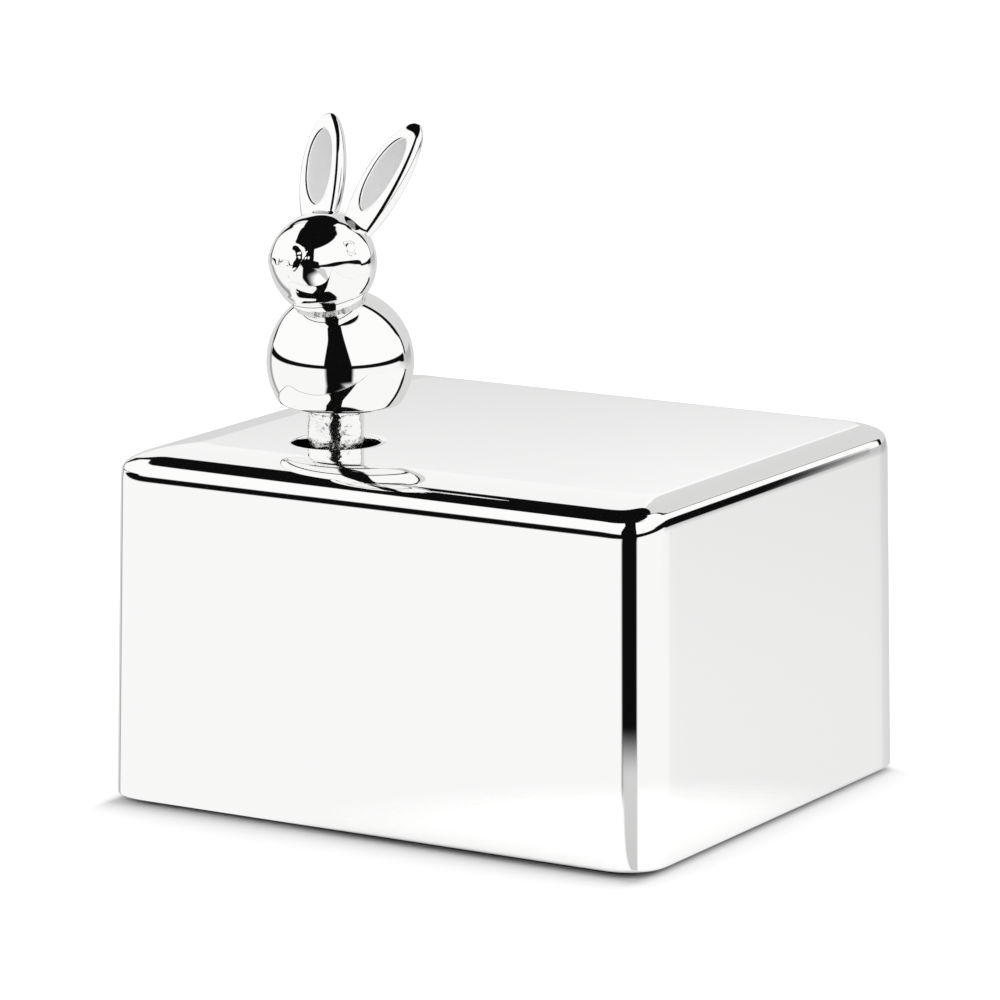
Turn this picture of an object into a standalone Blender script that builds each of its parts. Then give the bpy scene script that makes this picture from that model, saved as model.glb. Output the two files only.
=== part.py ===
"""A silver plated music box.

A cast case stands on a felt pad. Inside, an 18 note movement is screwed to the base board, and its
winding shaft comes up through a hole in the top of the case, where a rabbit is the winding knob.

Metres, +Z up. The origin is on the table under the middle of the case, and the front faces -Y.
"""

import math

import bmesh
import bpy
from mathutils import Matrix

# Clearances that every piece shares
SEAT_GAP = 0.0003
SHAFT_GAP = 0.0003
SIDE_GAP = 0.0004
OVERRUN = 0.0010
MERGE = 0.000001

# Facets
ROUND_STEPS = 32
BALL_STEPS = 32
SMALL_STEPS = 12
CORNER_STEPS = 8
EDGE_STEPS = 10
FOOT_STEPS = 3
SMOOTH_DEG = 35

# Case, cast in one piece, with lugs in its lower corners
CASE_WIDTH = 0.0900
CASE_DEPTH = 0.0780
CASE_HEIGHT = 0.0510
CASE_LIFT = 0.0008
CASE_CORNER_RADIUS = 0.0071
CASE_DRAFT = 0.0007
TOP_EDGE_INWARD = 0.0100
TOP_EDGE_DROP = 0.0040
TOP_EDGE_FULLNESS = 2.25
CASE_WALL = 0.0014
CASE_TOP_THICKNESS = 0.0016
POST_HOLE_RADIUS = 0.0064
POST_FROM_LEFT = 0.0266
POST_FROM_FRONT_SHARE = 0.2782
LUG_RADIUS = 0.0035
LUG_HEIGHT = 0.0120
LUG_SHIFT = 0.0020
LUG_BORE_DEPTH = 0.0090

# Felt pad, base board and the screws that hold the board to the lugs
FELT_THICKNESS = 0.0012
FELT_MARGIN = 0.0006
BOARD_THICKNESS = 0.0040
BOARD_CLEARANCE = 0.0004
COUNTERBORE_DEPTH = 0.0020
BASE_SCREW_HEAD_RADIUS = 0.0024
BASE_SCREW_HEAD_HEIGHT = 0.0014
BASE_SCREW_RADIUS = 0.0012
BASE_SCREW_LENGTH = 0.0095
SLOT_WIDTH_SHARE = 0.28
SLOT_DEPTH_SHARE = 0.45

# Bedplate on its rubber washers, and the three screws from below
WASHER_THICKNESS = 0.0015
WASHER_RADIUS = 0.0030
PLATE_THICKNESS = 0.0025
PLATE_CORNER_RADIUS = 0.0030
PLATE_MARGIN = 0.0015
PLATE_SCREW_INSET = 0.0046

# Great wheel, with teeth on its upper face, and the click that lets it be wound one way
WHEEL_TEETH = 44
WHEEL_MODULE = 0.0005
WHEEL_FACE = 0.0020
WHEEL_EDGE = 0.0002
WHEEL_HUB_RADIUS = 0.0040
WHEEL_WEB_LIFT = 0.0036
WHEEL_WEB_THICKNESS = 0.0010
WHEEL_RIM_HEIGHT = 0.0004
RATCHET_TEETH = 12
RATCHET_INNER_RADIUS = 0.0052
RATCHET_OUTER_RADIUS = 0.0082
RATCHET_HEIGHT = 0.0006
RATCHET_LENGTH_SHARE = 0.85
CLICK_THICKNESS = 0.0003
CLICK_HUB_RADIUS = 0.0040
CLICK_ARMS = 3
CLICK_ARM_WIDTH = 0.0022

# Tooth form of every wheel, in shares of the module and of the pitch
ADDENDUM_SHARE = 0.8
DEDENDUM_SHARE = 1.2
TOOTH_ROOT_SHARE = 0.52
TOOTH_TIP_SHARE = 0.22

# Winding arbor and spring barrel
ARBOR_RADIUS = 0.0020
ARBOR_PIVOT_RADIUS = 0.0015
ARBOR_PIVOT_LENGTH = 0.0022
ARBOR_STUB_RADIUS = 0.0015
ARBOR_STUB_LENGTH = 0.0070
BARREL_CLEARANCE = 0.0005
BARREL_WALL = 0.0008
BARREL_LIFT = 0.0006
BARREL_HEIGHT = 0.0104
BARREL_FLOOR_THICKNESS = 0.0006
LEG_WIDTH = 0.0060
LEG_ARM_THICKNESS = 0.0016
LEG_CLEARANCE = 0.0005
FOOT_LENGTH = 0.0045
FOOT_THICKNESS = 0.0014
SPRING_THICKNESS = 0.0003
SPRING_TURNS = 5
SPRING_POINTS_PER_TURN = 20

# Small screws of the movement
SMALL_SCREW_HEAD_RADIUS = 0.0017
SMALL_SCREW_HEAD_HEIGHT = 0.0010
SMALL_SCREW_RADIUS = 0.0009
SMALL_SCREW_LENGTH = 0.0036

# Pinned cylinder, its arbor, pinion and wheel, and the two brackets that carry it
PINION_TEETH = 12
PINION_FACE = 0.0021
CYLINDER_RADIUS = 0.0064
CYLINDER_SKIN = 0.0006
CYLINDER_CAP_DEPTH = 0.0012
CYLINDER_ARBOR_RADIUS = 0.0010
TRACKS = 18
TRACK_PITCH = 0.0011
TRACK_MARGIN = 0.0003
NOTES_PER_TRACK = 5
NOTE_PLACES = 36
NOTE_STEP = 7
TRACK_STEP = 5
NOTE_SHIFTS = 4
PIN_LENGTH = 0.0008
PIN_WIDTH = 0.00035
PIN_ROOT = 0.0003
CYLINDER_WHEEL_TEETH = 42
FINE_MODULE = 0.00035
CYLINDER_WHEEL_FACE = 0.0012
BRACKET_THICKNESS = 0.0012
BRACKET_HALF_WIDTH = 0.0030
BRACKET_FOOT_LENGTH = 0.0060
BRACKET_FOOT_DEPTH = 0.0046
BRACKET_FOOT_THICKNESS = 0.0012

# Steel comb
COMB_THICKNESS = 0.0009
COMB_TIP_GAP = 0.0003
COMB_REED_LENGTH = 0.0080
COMB_REED_STEP = 0.00018
COMB_SLOT = 0.0003
COMB_LENGTH = 0.0130
COMB_MARGIN = 0.0004
COMB_SEAT_LENGTH = 0.0060
COMB_SCREWS = 3
COMB_SCREW_INSET = 0.0030

# Governor: a pinion and worm wheel on one arbor, a worm, and a fan
GOVERNOR_PINION_TEETH = 8
GOVERNOR_PINION_MARGIN = 0.0002
WORM_WHEEL_TEETH = 20
WORM_MODULE = 0.0004
WORM_WHEEL_FACE = 0.0012
WORM_WHEEL_GAP = 0.0009
GOVERNOR_ARBOR_RADIUS = 0.0005
WORM_RADIUS = 0.0016
WORM_LENGTH = 0.0064
WORM_ARBOR_RADIUS = 0.0006
WORM_STEPS_PER_TURN = 8
CHEEK_THICKNESS = 0.0010
CHEEK_HALF_WIDTH = 0.0020
CHEEK_RISE = 0.0024
GOVERNOR_BASE_THICKNESS = 0.0015
GOVERNOR_WALL = 0.0018
WORM_BLOCK_HEIGHT = 0.0036
WORM_BLOCK_HALF_WIDTH = 0.0022
WORM_PIVOT_DEPTH = 0.0018
WORM_UPRIGHT_GAP = 0.0009
GOVERNOR_FRONT_LEDGE = 0.0010
FAN_HUB_RADIUS = 0.0015
FAN_RADIUS = 0.0045
FAN_HEIGHT = 0.0050
FAN_BLADE_THICKNESS = 0.0005
FAN_ARBOR_END = 0.0004

# Rabbit on the winding shaft, which faces -Y
NUT_ACROSS_FLATS = 0.0055
NUT_THICKNESS = 0.0020
EXTENSION_RADIUS = 0.0032
EXTENSION_BORE_DEPTH = 0.0052
STUD_LENGTH = 0.0050
POST_RADIUS = 0.0041
POST_SHARE = 0.3395
POST_BORE_SPARE = 0.0006
FIGURE_LIFT = 0.0053
BODY_RADIUS = 0.0106
BODY_FOOT = 0.0062
BODY_FOOT_ROUNDING = 0.0012
BODY_BACK = 0.0013
HEAD_RADIUS = 0.0076
HEAD_FORWARD = 0.0030
HEAD_RISE = 0.0149
FACE_UP_DEG = 15
MUZZLE_RISE = 0.0011
MUZZLE_SPREAD_DEG = 24
EAR_LENGTH = 0.0161
EAR_WIDTH = 0.0071
EAR_FRONT = 0.0006
EAR_BACK = 0.0021
EAR_RECESS = 0.0004
EAR_SIDE = 0.0036
EAR_BEHIND = 0.0046
EAR_ABOVE = 0.0058
EAR_LEAN_DEG = 31
EAR_SPREAD_DEG = 14
EARS_TILT_DEG = 2
EAR_ROOT_SHARE = 0.18
EAR_WIDEST_SHARE = 0.36
EAR_ROUNDNESS = 1.95
EAR_STATIONS = 12
EAR_FRONT_SHARES = (-0.90, -0.74, -0.60, -0.30, 0.0, 0.30, 0.60, 0.74, 0.90)
EAR_BACK_SHARES = (0.92, 0.71, 0.38, 0.0, -0.38, -0.71, -0.92)
EAR_PANEL_SHARE = 0.66

# Heights, from the table up
CASE_TOP = CASE_LIFT + CASE_HEIGHT
BOARD_BOTTOM = FELT_THICKNESS + SEAT_GAP
BOARD_TOP = BOARD_BOTTOM + BOARD_THICKNESS
PLATE_BOTTOM = BOARD_TOP + SEAT_GAP + WASHER_THICKNESS + SEAT_GAP
PLATE_TOP = PLATE_BOTTOM + PLATE_THICKNESS

# Place of the winding shaft, where the movement has its own origin on the bedplate's top
POST_X = POST_FROM_LEFT - CASE_WIDTH / 2
POST_Y = (POST_FROM_FRONT_SHARE - 0.5) * CASE_DEPTH

# Great wheel: heights over the bedplate
WHEEL_RADIUS = WHEEL_TEETH * WHEEL_MODULE / 2
WEB_TOP = WHEEL_WEB_LIFT + WHEEL_WEB_THICKNESS
TEETH_ROOT = WEB_TOP + WHEEL_RIM_HEIGHT
TEETH_PITCH = TEETH_ROOT + DEDENDUM_SHARE * WHEEL_MODULE
TEETH_TIP = TEETH_PITCH + ADDENDUM_SHARE * WHEEL_MODULE
RIM_INNER = WHEEL_RADIUS - WHEEL_FACE / 2 - WHEEL_EDGE
RIM_OUTER = WHEEL_RADIUS + WHEEL_FACE / 2 + WHEEL_EDGE
WHEEL_BORE = ARBOR_RADIUS + SHAFT_GAP
CLICK_BOTTOM = WEB_TOP + RATCHET_HEIGHT + SEAT_GAP

# Spring barrel
BARREL_RADIUS = RIM_INNER - BARREL_CLEARANCE
BARREL_INNER = BARREL_RADIUS - BARREL_WALL
BARREL_BOTTOM = TEETH_TIP + BARREL_LIFT
BARREL_TOP = BARREL_BOTTOM + BARREL_HEIGHT
LEG_INNER = RIM_OUTER + LEG_CLEARANCE
LEG_OUTER = LEG_INNER + LEG_ARM_THICKNESS
FOOT_END = LEG_OUTER + FOOT_LENGTH
FOOT_TOP = SEAT_GAP + FOOT_THICKNESS

# Cylinder train, along +Y from the great wheel
PINION_RADIUS = PINION_TEETH * WHEEL_MODULE / 2
AXIS_HEIGHT = TEETH_PITCH + PINION_RADIUS
PINION_FRONT = WHEEL_RADIUS - PINION_FACE / 2
FRONT_BRACKET = RIM_OUTER + SIDE_GAP
CYLINDER_FRONT = FRONT_BRACKET + BRACKET_THICKNESS + SIDE_GAP
CYLINDER_LENGTH = TRACKS * TRACK_PITCH + 2 * TRACK_MARGIN
CYLINDER_REAR = CYLINDER_FRONT + CYLINDER_LENGTH
CYLINDER_WHEEL_FRONT = CYLINDER_REAR + SIDE_GAP
CYLINDER_WHEEL_REAR = CYLINDER_WHEEL_FRONT + CYLINDER_WHEEL_FACE
REAR_BRACKET = CYLINDER_WHEEL_REAR + SIDE_GAP
REAR_BRACKET_BACK = REAR_BRACKET + BRACKET_THICKNESS
PIN_TIP = CYLINDER_RADIUS + PIN_LENGTH
ARBOR_BORE = CYLINDER_ARBOR_RADIUS + SHAFT_GAP

# Comb
COMB_TIP = PIN_TIP + COMB_TIP_GAP
COMB_END = COMB_TIP + COMB_LENGTH
COMB_SEAT = COMB_END - COMB_SEAT_LENGTH
COMB_SEAT_TOP = AXIS_HEIGHT - COMB_THICKNESS - SEAT_GAP
COMB_FRONT = CYLINDER_FRONT + TRACK_MARGIN - COMB_MARGIN
COMB_REAR = CYLINDER_REAR - TRACK_MARGIN + COMB_MARGIN

# Governor
CYLINDER_WHEEL_RADIUS = CYLINDER_WHEEL_TEETH * FINE_MODULE / 2
GOVERNOR_X = -CYLINDER_WHEEL_RADIUS - GOVERNOR_PINION_TEETH * FINE_MODULE / 2
GOVERNOR_PINION_FRONT = CYLINDER_WHEEL_FRONT - GOVERNOR_PINION_MARGIN
GOVERNOR_PINION_REAR = CYLINDER_WHEEL_REAR + GOVERNOR_PINION_MARGIN
WORM_WHEEL_RADIUS = WORM_WHEEL_TEETH * WORM_MODULE / 2
WORM_WHEEL_FRONT = CYLINDER_WHEEL_REAR + WORM_WHEEL_GAP
WORM_WHEEL_REAR = WORM_WHEEL_FRONT + WORM_WHEEL_FACE
WORM_X = GOVERNOR_X - WORM_WHEEL_RADIUS - WORM_RADIUS
WORM_Y = (WORM_WHEEL_FRONT + WORM_WHEEL_REAR) / 2
WORM_LEAD = math.pi * WORM_MODULE
WORM_TIP_RADIUS = WORM_RADIUS + ADDENDUM_SHARE * WORM_MODULE
WORM_ROOT_RADIUS = WORM_RADIUS - DEDENDUM_SHARE * WORM_MODULE
WORM_BOTTOM = AXIS_HEIGHT - WORM_LENGTH / 2
WORM_TOP = AXIS_HEIGHT + WORM_LENGTH / 2
FRONT_CHEEK = GOVERNOR_PINION_FRONT - SIDE_GAP - CHEEK_THICKNESS
REAR_CHEEK = WORM_WHEEL_REAR + SIDE_GAP
REAR_CHEEK_BACK = REAR_CHEEK + CHEEK_THICKNESS
CHEEK_TOP = AXIS_HEIGHT + CHEEK_RISE
GOVERNOR_BASE_TOP = SEAT_GAP + GOVERNOR_BASE_THICKNESS
UPRIGHT_RIGHT = WORM_X - WORM_TIP_RADIUS - WORM_UPRIGHT_GAP
GOVERNOR_LEFT = UPRIGHT_RIGHT - GOVERNOR_WALL
GOVERNOR_RIGHT = GOVERNOR_X + CHEEK_HALF_WIDTH
GOVERNOR_FRONT = FRONT_CHEEK - GOVERNOR_FRONT_LEDGE
ARM_BOTTOM = WORM_TOP + SIDE_GAP
ARM_TOP = ARM_BOTTOM + BRACKET_THICKNESS
FAN_BOTTOM = ARM_TOP + SIDE_GAP
FAN_TOP = FAN_BOTTOM + FAN_HEIGHT
WORM_ARBOR_TOP = FAN_TOP + FAN_ARBOR_END

# Bedplate, drawn round what stands on it
PLATE_LEFT = GOVERNOR_LEFT - PLATE_MARGIN
PLATE_RIGHT = COMB_END + PLATE_MARGIN
PLATE_FRONT = -RIM_OUTER - PLATE_MARGIN
PLATE_REAR = REAR_BRACKET_BACK + BRACKET_FOOT_DEPTH
PLATE_SCREWS = (
    (PLATE_LEFT + PLATE_SCREW_INSET, PLATE_FRONT + PLATE_SCREW_INSET),
    (PLATE_RIGHT - PLATE_SCREW_INSET, PLATE_FRONT + PLATE_SCREW_INSET),
    (PLATE_RIGHT - PLATE_SCREW_INSET, PLATE_REAR - PLATE_SCREW_INSET),
)
FOOT_SCREW_X = (LEG_OUTER + FOOT_END) / 2
FRONT_FOOT_SCREW = (
    -BRACKET_HALF_WIDTH - BRACKET_FOOT_LENGTH + SMALL_SCREW_HEAD_RADIUS,
    FRONT_BRACKET + BRACKET_FOOT_DEPTH / 2,
)
REAR_FOOT_SCREW = (
    BRACKET_HALF_WIDTH + BRACKET_FOOT_LENGTH / 2,
    REAR_BRACKET_BACK + BRACKET_FOOT_DEPTH / 2,
)
GOVERNOR_SCREWS = (
    (WORM_X, GOVERNOR_FRONT + SMALL_SCREW_HEAD_RADIUS),
    (GOVERNOR_X, (FRONT_CHEEK + CHEEK_THICKNESS + REAR_CHEEK) / 2),
)
COMB_SCREW_X = COMB_END - COMB_SCREW_INSET
COMB_SCREW_YS = tuple(
    COMB_FRONT + (COMB_REAR - COMB_FRONT) * (n + 0.5) / COMB_SCREWS for n in range(COMB_SCREWS)
)

# Heights of the shaft and the rabbit over the bedplate
ARBOR_SHOULDER = BARREL_TOP + 2 * SEAT_GAP
NUT_BOTTOM = ARBOR_SHOULDER + SEAT_GAP
EXTENSION_BOTTOM = NUT_BOTTOM + NUT_THICKNESS + SEAT_GAP
SHAFT_TOP = CASE_TOP - PLATE_TOP
POST_BOTTOM = SHAFT_TOP - POST_SHARE * (SHAFT_TOP - EXTENSION_BOTTOM)
EXTENSION_TOP = POST_BOTTOM - SEAT_GAP
BODY_BOTTOM = SHAFT_TOP + FIGURE_LIFT
BODY_HEIGHT = BODY_BOTTOM + BODY_FOOT
HEAD_HEIGHT = BODY_HEIGHT + HEAD_RISE

# Colours as (red, green, blue), roughness and metallic
SILVER = ((0.92, 0.92, 0.92), 0.05, 1.0)
CAST_SILVER = ((0.90, 0.90, 0.90), 0.28, 1.0)
BRASS = ((0.80, 0.62, 0.30), 0.25, 1.0)
STEEL = ((0.55, 0.56, 0.58), 0.25, 1.0)
BLUED_STEEL = ((0.20, 0.22, 0.27), 0.30, 1.0)
CAST_ZINC = ((0.62, 0.62, 0.60), 0.45, 1.0)
BOARD = ((0.05, 0.05, 0.05), 0.70, 0.0)
FELT = ((0.02, 0.02, 0.02), 0.95, 0.0)
RUBBER = ((0.03, 0.03, 0.03), 0.85, 0.0)
PLASTIC = ((0.80, 0.80, 0.76), 0.40, 0.0)


def arc(x, y, radius, start, end, steps):
    """Points along an arc, with both of its ends."""
    turns = (start + (end - start) * n / steps for n in range(steps + 1))
    return [(x + radius * math.cos(a), y + radius * math.sin(a)) for a in turns]


def circle(x, y, radius, steps=ROUND_STEPS):
    return arc(x, y, radius, 0, 2 * math.pi, steps)[:-1]


def rectangle(left, right, front, rear):
    return [(left, front), (right, front), (right, rear), (left, rear)]


def rounded_rectangle(left, right, front, rear, radius):
    """A rectangle whose corners are quarter circles."""
    centres = (
        (right - radius, rear - radius),
        (left + radius, rear - radius),
        (left + radius, front + radius),
        (right - radius, front + radius),
    )
    quarter = math.pi / 2
    points = []
    for corner, centre in enumerate(centres):
        start = corner * quarter
        points += arc(*centre, radius, start, start + quarter, CORNER_STEPS)
    return points


def mesh_from(bm):
    bmesh.ops.recalc_face_normals(bm, faces=bm.faces[:])
    mesh = bpy.data.meshes.new("shape")
    bm.to_mesh(mesh)
    bm.free()
    return mesh


def turned(profile, steps=ROUND_STEPS):
    """Spins (radius, height) points about Z. A profile that starts on the axis also ends there."""
    bm = bmesh.new()
    points = [bm.verts.new((radius, 0, height)) for radius, height in profile]
    pairs = list(zip(points, points[1:]))
    if profile[0][0] > 0:
        pairs.append((points[-1], points[0]))
    edges = [bm.edges.new(pair) for pair in pairs]
    bmesh.ops.spin(
        bm,
        geom=points + edges,
        cent=(0, 0, 0),
        axis=(0, 0, 1),
        angle=2 * math.pi,
        steps=steps,
        use_merge=True,
    )
    bmesh.ops.remove_doubles(bm, verts=bm.verts[:], dist=MERGE)
    return mesh_from(bm)


def plate(outlines, bottom, top):
    """Extrudes a flat outline along Z. Any further outlines are holes in it."""
    bm = bmesh.new()
    edges = []
    for outline in outlines:
        ring = [bm.verts.new((x, y, bottom)) for x, y in outline]
        edges += [bm.edges.new(pair) for pair in zip(ring, ring[1:] + ring[:1])]
    bmesh.ops.triangle_fill(bm, edges=edges, use_beauty=True)
    raised = bmesh.ops.extrude_face_region(bm, geom=bm.faces[:])["geom"]
    upper = [item for item in raised if isinstance(item, bmesh.types.BMVert)]
    bmesh.ops.translate(bm, verts=upper, vec=(0, 0, top - bottom))
    return mesh_from(bm)


def wall_plate(outlines, front, rear):
    """Like plate, but drawn in X and Z and extruded along Y."""
    mesh = plate(outlines, -rear, -front)
    mesh.transform(Matrix.Rotation(math.radians(90), 4, "X"))
    return mesh


def block(left, right, front, rear, bottom, top):
    return plate([rectangle(left, right, front, rear)], bottom, top)


def rod(x, y, radius, bottom, top, steps=SMALL_STEPS):
    return plate([circle(x, y, radius, steps)], bottom, top)


def cross_rod(x, z, radius, front, rear, steps=SMALL_STEPS):
    return wall_plate([circle(x, z, radius, steps)], front, rear)


def lofted(rings):
    """Skins rings that have equal counts of points, and caps the first and the last."""
    bm = bmesh.new()
    rows = [[bm.verts.new(point) for point in ring] for ring in rings]
    for low, high in zip(rows, rows[1:]):
        for n in range(len(low)):
            bm.faces.new((low[n - 1], low[n], high[n], high[n - 1]))
    bm.faces.new(rows[0])
    bm.faces.new(rows[-1])
    return mesh_from(bm)


def ball(radius):
    """A ball centred on the origin."""
    quarter = math.pi / 2
    profile = arc(0, 0, radius, -quarter, quarter, BALL_STEPS // 2)[1:-1]
    return turned([(0, -radius), *profile, (0, radius)], BALL_STEPS)


def footed_ball(radius, foot, rounding):
    """A ball cut flat at foot below its centre, with a rounded edge there."""
    quarter = math.pi / 2
    reach = math.sqrt((radius - rounding) ** 2 - (foot - rounding) ** 2)
    start = -math.atan2(foot - rounding, reach)
    edge = arc(reach, rounding - foot, rounding, -quarter, start, FOOT_STEPS)
    side = arc(0, 0, radius, start, quarter, BALL_STEPS // 2)[1:-1]
    return turned([(0, -foot), *edge, *side, (0, radius)], BALL_STEPS)


def moved(mesh, x=0, y=0, z=0):
    mesh.transform(Matrix.Translation((x, y, z)))
    return mesh


def combined(base, others, operation):
    """The base mesh with the others joined to it (UNION) or cut from it (DIFFERENCE)."""
    body = bpy.data.objects.new("work", base)
    bpy.context.scene.collection.objects.link(body)
    used = [body]
    for other in others:
        tool = bpy.data.objects.new("tool", other)
        bpy.context.scene.collection.objects.link(tool)
        modifier = body.modifiers.new("shape", "BOOLEAN")
        modifier.operation = operation
        modifier.solver = "EXACT"
        modifier.object = tool
        used.append(tool)
    graph = bpy.context.evaluated_depsgraph_get()
    mesh = bpy.data.meshes.new_from_object(body.evaluated_get(graph))
    for each in used:
        bpy.data.objects.remove(each)
    return mesh


def joined(base, *others):
    return combined(base, others, "UNION")


def cut(base, *others):
    return combined(base, others, "DIFFERENCE")


def together(meshes):
    """Several meshes that don't touch, as one mesh."""
    bm = bmesh.new()
    for mesh in meshes:
        bm.from_mesh(mesh)
    return mesh_from(bm)


def axis(name, parent=None, x=0, y=0, z=0, along_y=False):
    """An empty on a joint's axis. With along_y its own Z points along +Y."""
    empty = bpy.data.objects.new(name, None)
    bpy.context.scene.collection.objects.link(empty)
    empty.empty_display_size = CASE_HEIGHT / 2
    empty.parent = parent
    empty.location = (x, y, z)
    if along_y:
        empty.rotation_euler.x = math.radians(-90)
    return empty


def piece(name, mesh, finish, parent=None, x=0, y=0, z=0, upside_down=False):
    """Puts a named object with its own material in the scene."""
    colour, roughness, metallic = finish
    material = bpy.data.materials.new(name)
    material.use_nodes = True
    shader = material.node_tree.nodes["Principled BSDF"]
    shader.inputs["Base Color"].default_value = (*colour, 1)
    shader.inputs["Roughness"].default_value = roughness
    shader.inputs["Metallic"].default_value = metallic
    mesh.shade_smooth()
    mesh.set_sharp_from_angle(angle=math.radians(SMOOTH_DEG))
    mesh.name = name
    obj = bpy.data.objects.new(name, mesh)
    bpy.context.scene.collection.objects.link(obj)
    mesh.materials.clear()
    mesh.materials.append(material)
    obj.parent = parent
    obj.location = (x, y, z)
    if upside_down:
        obj.rotation_euler.x = math.pi
    return obj


def screw(head_radius, head_height, radius, length):
    """A slotted screw: its head lies under Z = 0 and its shank runs up from there."""
    profile = (
        (0, -head_height),
        (head_radius, -head_height),
        (head_radius, 0),
        (radius, 0),
        (radius, length),
        (0, length),
    )
    half_slot = SLOT_WIDTH_SHARE * head_radius / 2
    reach = head_radius + OVERRUN
    floor = -head_height * (1 - SLOT_DEPTH_SHARE)
    slot = block(-reach, reach, -half_slot, half_slot, -head_height - OVERRUN, floor)
    return cut(turned(profile, SMALL_STEPS), slot)


def screw_bore(x, y, head_radius, head_depth, radius, bottom, top):
    """A cutter for a through hole with a counterbore from below."""
    profile = (
        (0, bottom - OVERRUN),
        (head_radius, bottom - OVERRUN),
        (head_radius, bottom + head_depth),
        (radius, bottom + head_depth),
        (radius, top + OVERRUN),
        (0, top + OVERRUN),
    )
    return moved(turned(profile, SMALL_STEPS), x, y)


def gear_outline(teeth, module, first_share=0.0):
    """Straight sided teeth. The first tooth's centre is first_share of a pitch past +X."""
    pitch_radius = teeth * module / 2
    root = pitch_radius - DEDENDUM_SHARE * module
    tip = pitch_radius + ADDENDUM_SHARE * module
    corners = (
        (root, -TOOTH_ROOT_SHARE),
        (tip, -TOOTH_TIP_SHARE),
        (tip, TOOTH_TIP_SHARE),
        (root, TOOTH_ROOT_SHARE),
    )
    pitch = 2 * math.pi / teeth
    points = []
    for tooth in range(teeth):
        for radius, share in corners:
            angle = (tooth + first_share + share / 2) * pitch
            points.append((radius * math.cos(angle), radius * math.sin(angle)))
    return points


def sector(inner, outer, angles, heights, bottom):
    """A block over part of a ring: its top runs through heights at angles, and its floor is flat."""
    bm = bmesh.new()
    rows = []
    for angle, height in zip(angles, heights):
        across = [(r * math.cos(angle), r * math.sin(angle)) for r in (inner, outer)]
        low = [bm.verts.new((x, y, bottom)) for x, y in across]
        high = [bm.verts.new((x, y, height)) for x, y in across]
        rows.append([low[0], low[1], high[1], high[0]])
    for near, far in zip(rows, rows[1:]):
        for n in range(4):
            bm.faces.new((near[n - 1], near[n], far[n], far[n - 1]))
    bm.faces.new(rows[0])
    bm.faces.new(rows[-1])
    return mesh_from(bm)


def case_rings(wall, top):
    """The rings of the case's skin, wall inside its outer face, from the lower edge to the top.

    The upper edge is a quarter of a full ellipse, wide on the top and low on the sides.
    """
    steps = [(wall, CASE_LIFT)]
    power = 2 / TOP_EDGE_FULLNESS
    for step in range(EDGE_STEPS + 1):
        angle = math.radians(90) * step / EDGE_STEPS
        inward = TOP_EDGE_INWARD * (1 - max(math.cos(angle), 0) ** power)
        drop = TOP_EDGE_DROP * (1 - math.sin(angle) ** power)
        steps.append((wall + CASE_DRAFT + inward, top - drop))
    rings = []
    for inset, height in steps:
        x = CASE_WIDTH / 2 - inset
        y = CASE_DEPTH / 2 - inset
        ring = rounded_rectangle(-x, x, -y, y, CASE_CORNER_RADIUS - wall)
        rings.append([(*point, height) for point in ring])
    return rings


def lug_places():
    """Centres of the four lugs, a little outside the centres of the case's corner arcs."""
    x = CASE_WIDTH / 2 - CASE_CORNER_RADIUS + LUG_SHIFT
    y = CASE_DEPTH / 2 - CASE_CORNER_RADIUS + LUG_SHIFT
    return ((-x, -y), (x, -y), (x, y), (-x, y))


def make_case():
    """The shell with its lugs, the board that closes it, the felt and the four screws."""
    outer = case_rings(0, CASE_TOP)
    inner = case_rings(CASE_WALL, CASE_TOP - CASE_TOP_THICKNESS)
    shell = lofted(inner[::-1] + outer)
    bore = BASE_SCREW_RADIUS + SHAFT_GAP
    bottom = BOARD_TOP + SEAT_GAP
    lug = (
        (0, bottom + LUG_BORE_DEPTH),
        (bore, bottom + LUG_BORE_DEPTH),
        (bore, bottom),
        (LUG_RADIUS, bottom),
        (LUG_RADIUS, bottom + LUG_HEIGHT),
        (0, bottom + LUG_HEIGHT),
    )
    shell = joined(shell, *(moved(turned(lug, SMALL_STEPS * 2), x, y) for x, y in lug_places()))
    hole_bottom = CASE_TOP - CASE_TOP_THICKNESS - OVERRUN
    hole = rod(POST_X, POST_Y, POST_HOLE_RADIUS, hole_bottom, CASE_TOP + OVERRUN, BALL_STEPS)
    piece("box_shell", cut(shell, hole), SILVER)

    inset = CASE_WALL + BOARD_CLEARANCE
    x = CASE_WIDTH / 2 - inset
    y = CASE_DEPTH / 2 - inset
    outline = rounded_rectangle(-x, x, -y, y, CASE_CORNER_RADIUS - inset)
    places = [*lug_places(), *((POST_X + sx, POST_Y + sy) for sx, sy in PLATE_SCREWS)]
    head = BASE_SCREW_HEAD_RADIUS + SHAFT_GAP
    bores = [
        screw_bore(sx, sy, head, COUNTERBORE_DEPTH, bore, BOARD_BOTTOM, BOARD_TOP)
        for sx, sy in places
    ]
    piece("base_board", cut(plate([outline], BOARD_BOTTOM, BOARD_TOP), *bores), BOARD)

    x -= FELT_MARGIN
    y -= FELT_MARGIN
    radius = CASE_CORNER_RADIUS - inset - FELT_MARGIN
    felt = plate([rounded_rectangle(-x, x, -y, y, radius)], 0, FELT_THICKNESS)
    piece("felt_pad", felt, FELT)

    seat = BOARD_BOTTOM + COUNTERBORE_DEPTH - SEAT_GAP
    size = (BASE_SCREW_HEAD_RADIUS, BASE_SCREW_HEAD_HEIGHT, BASE_SCREW_RADIUS, BASE_SCREW_LENGTH)
    for n, (sx, sy) in enumerate(lug_places(), 1):
        piece(f"base_screw_{n}", screw(*size), STEEL, None, sx, sy, seat)


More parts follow.
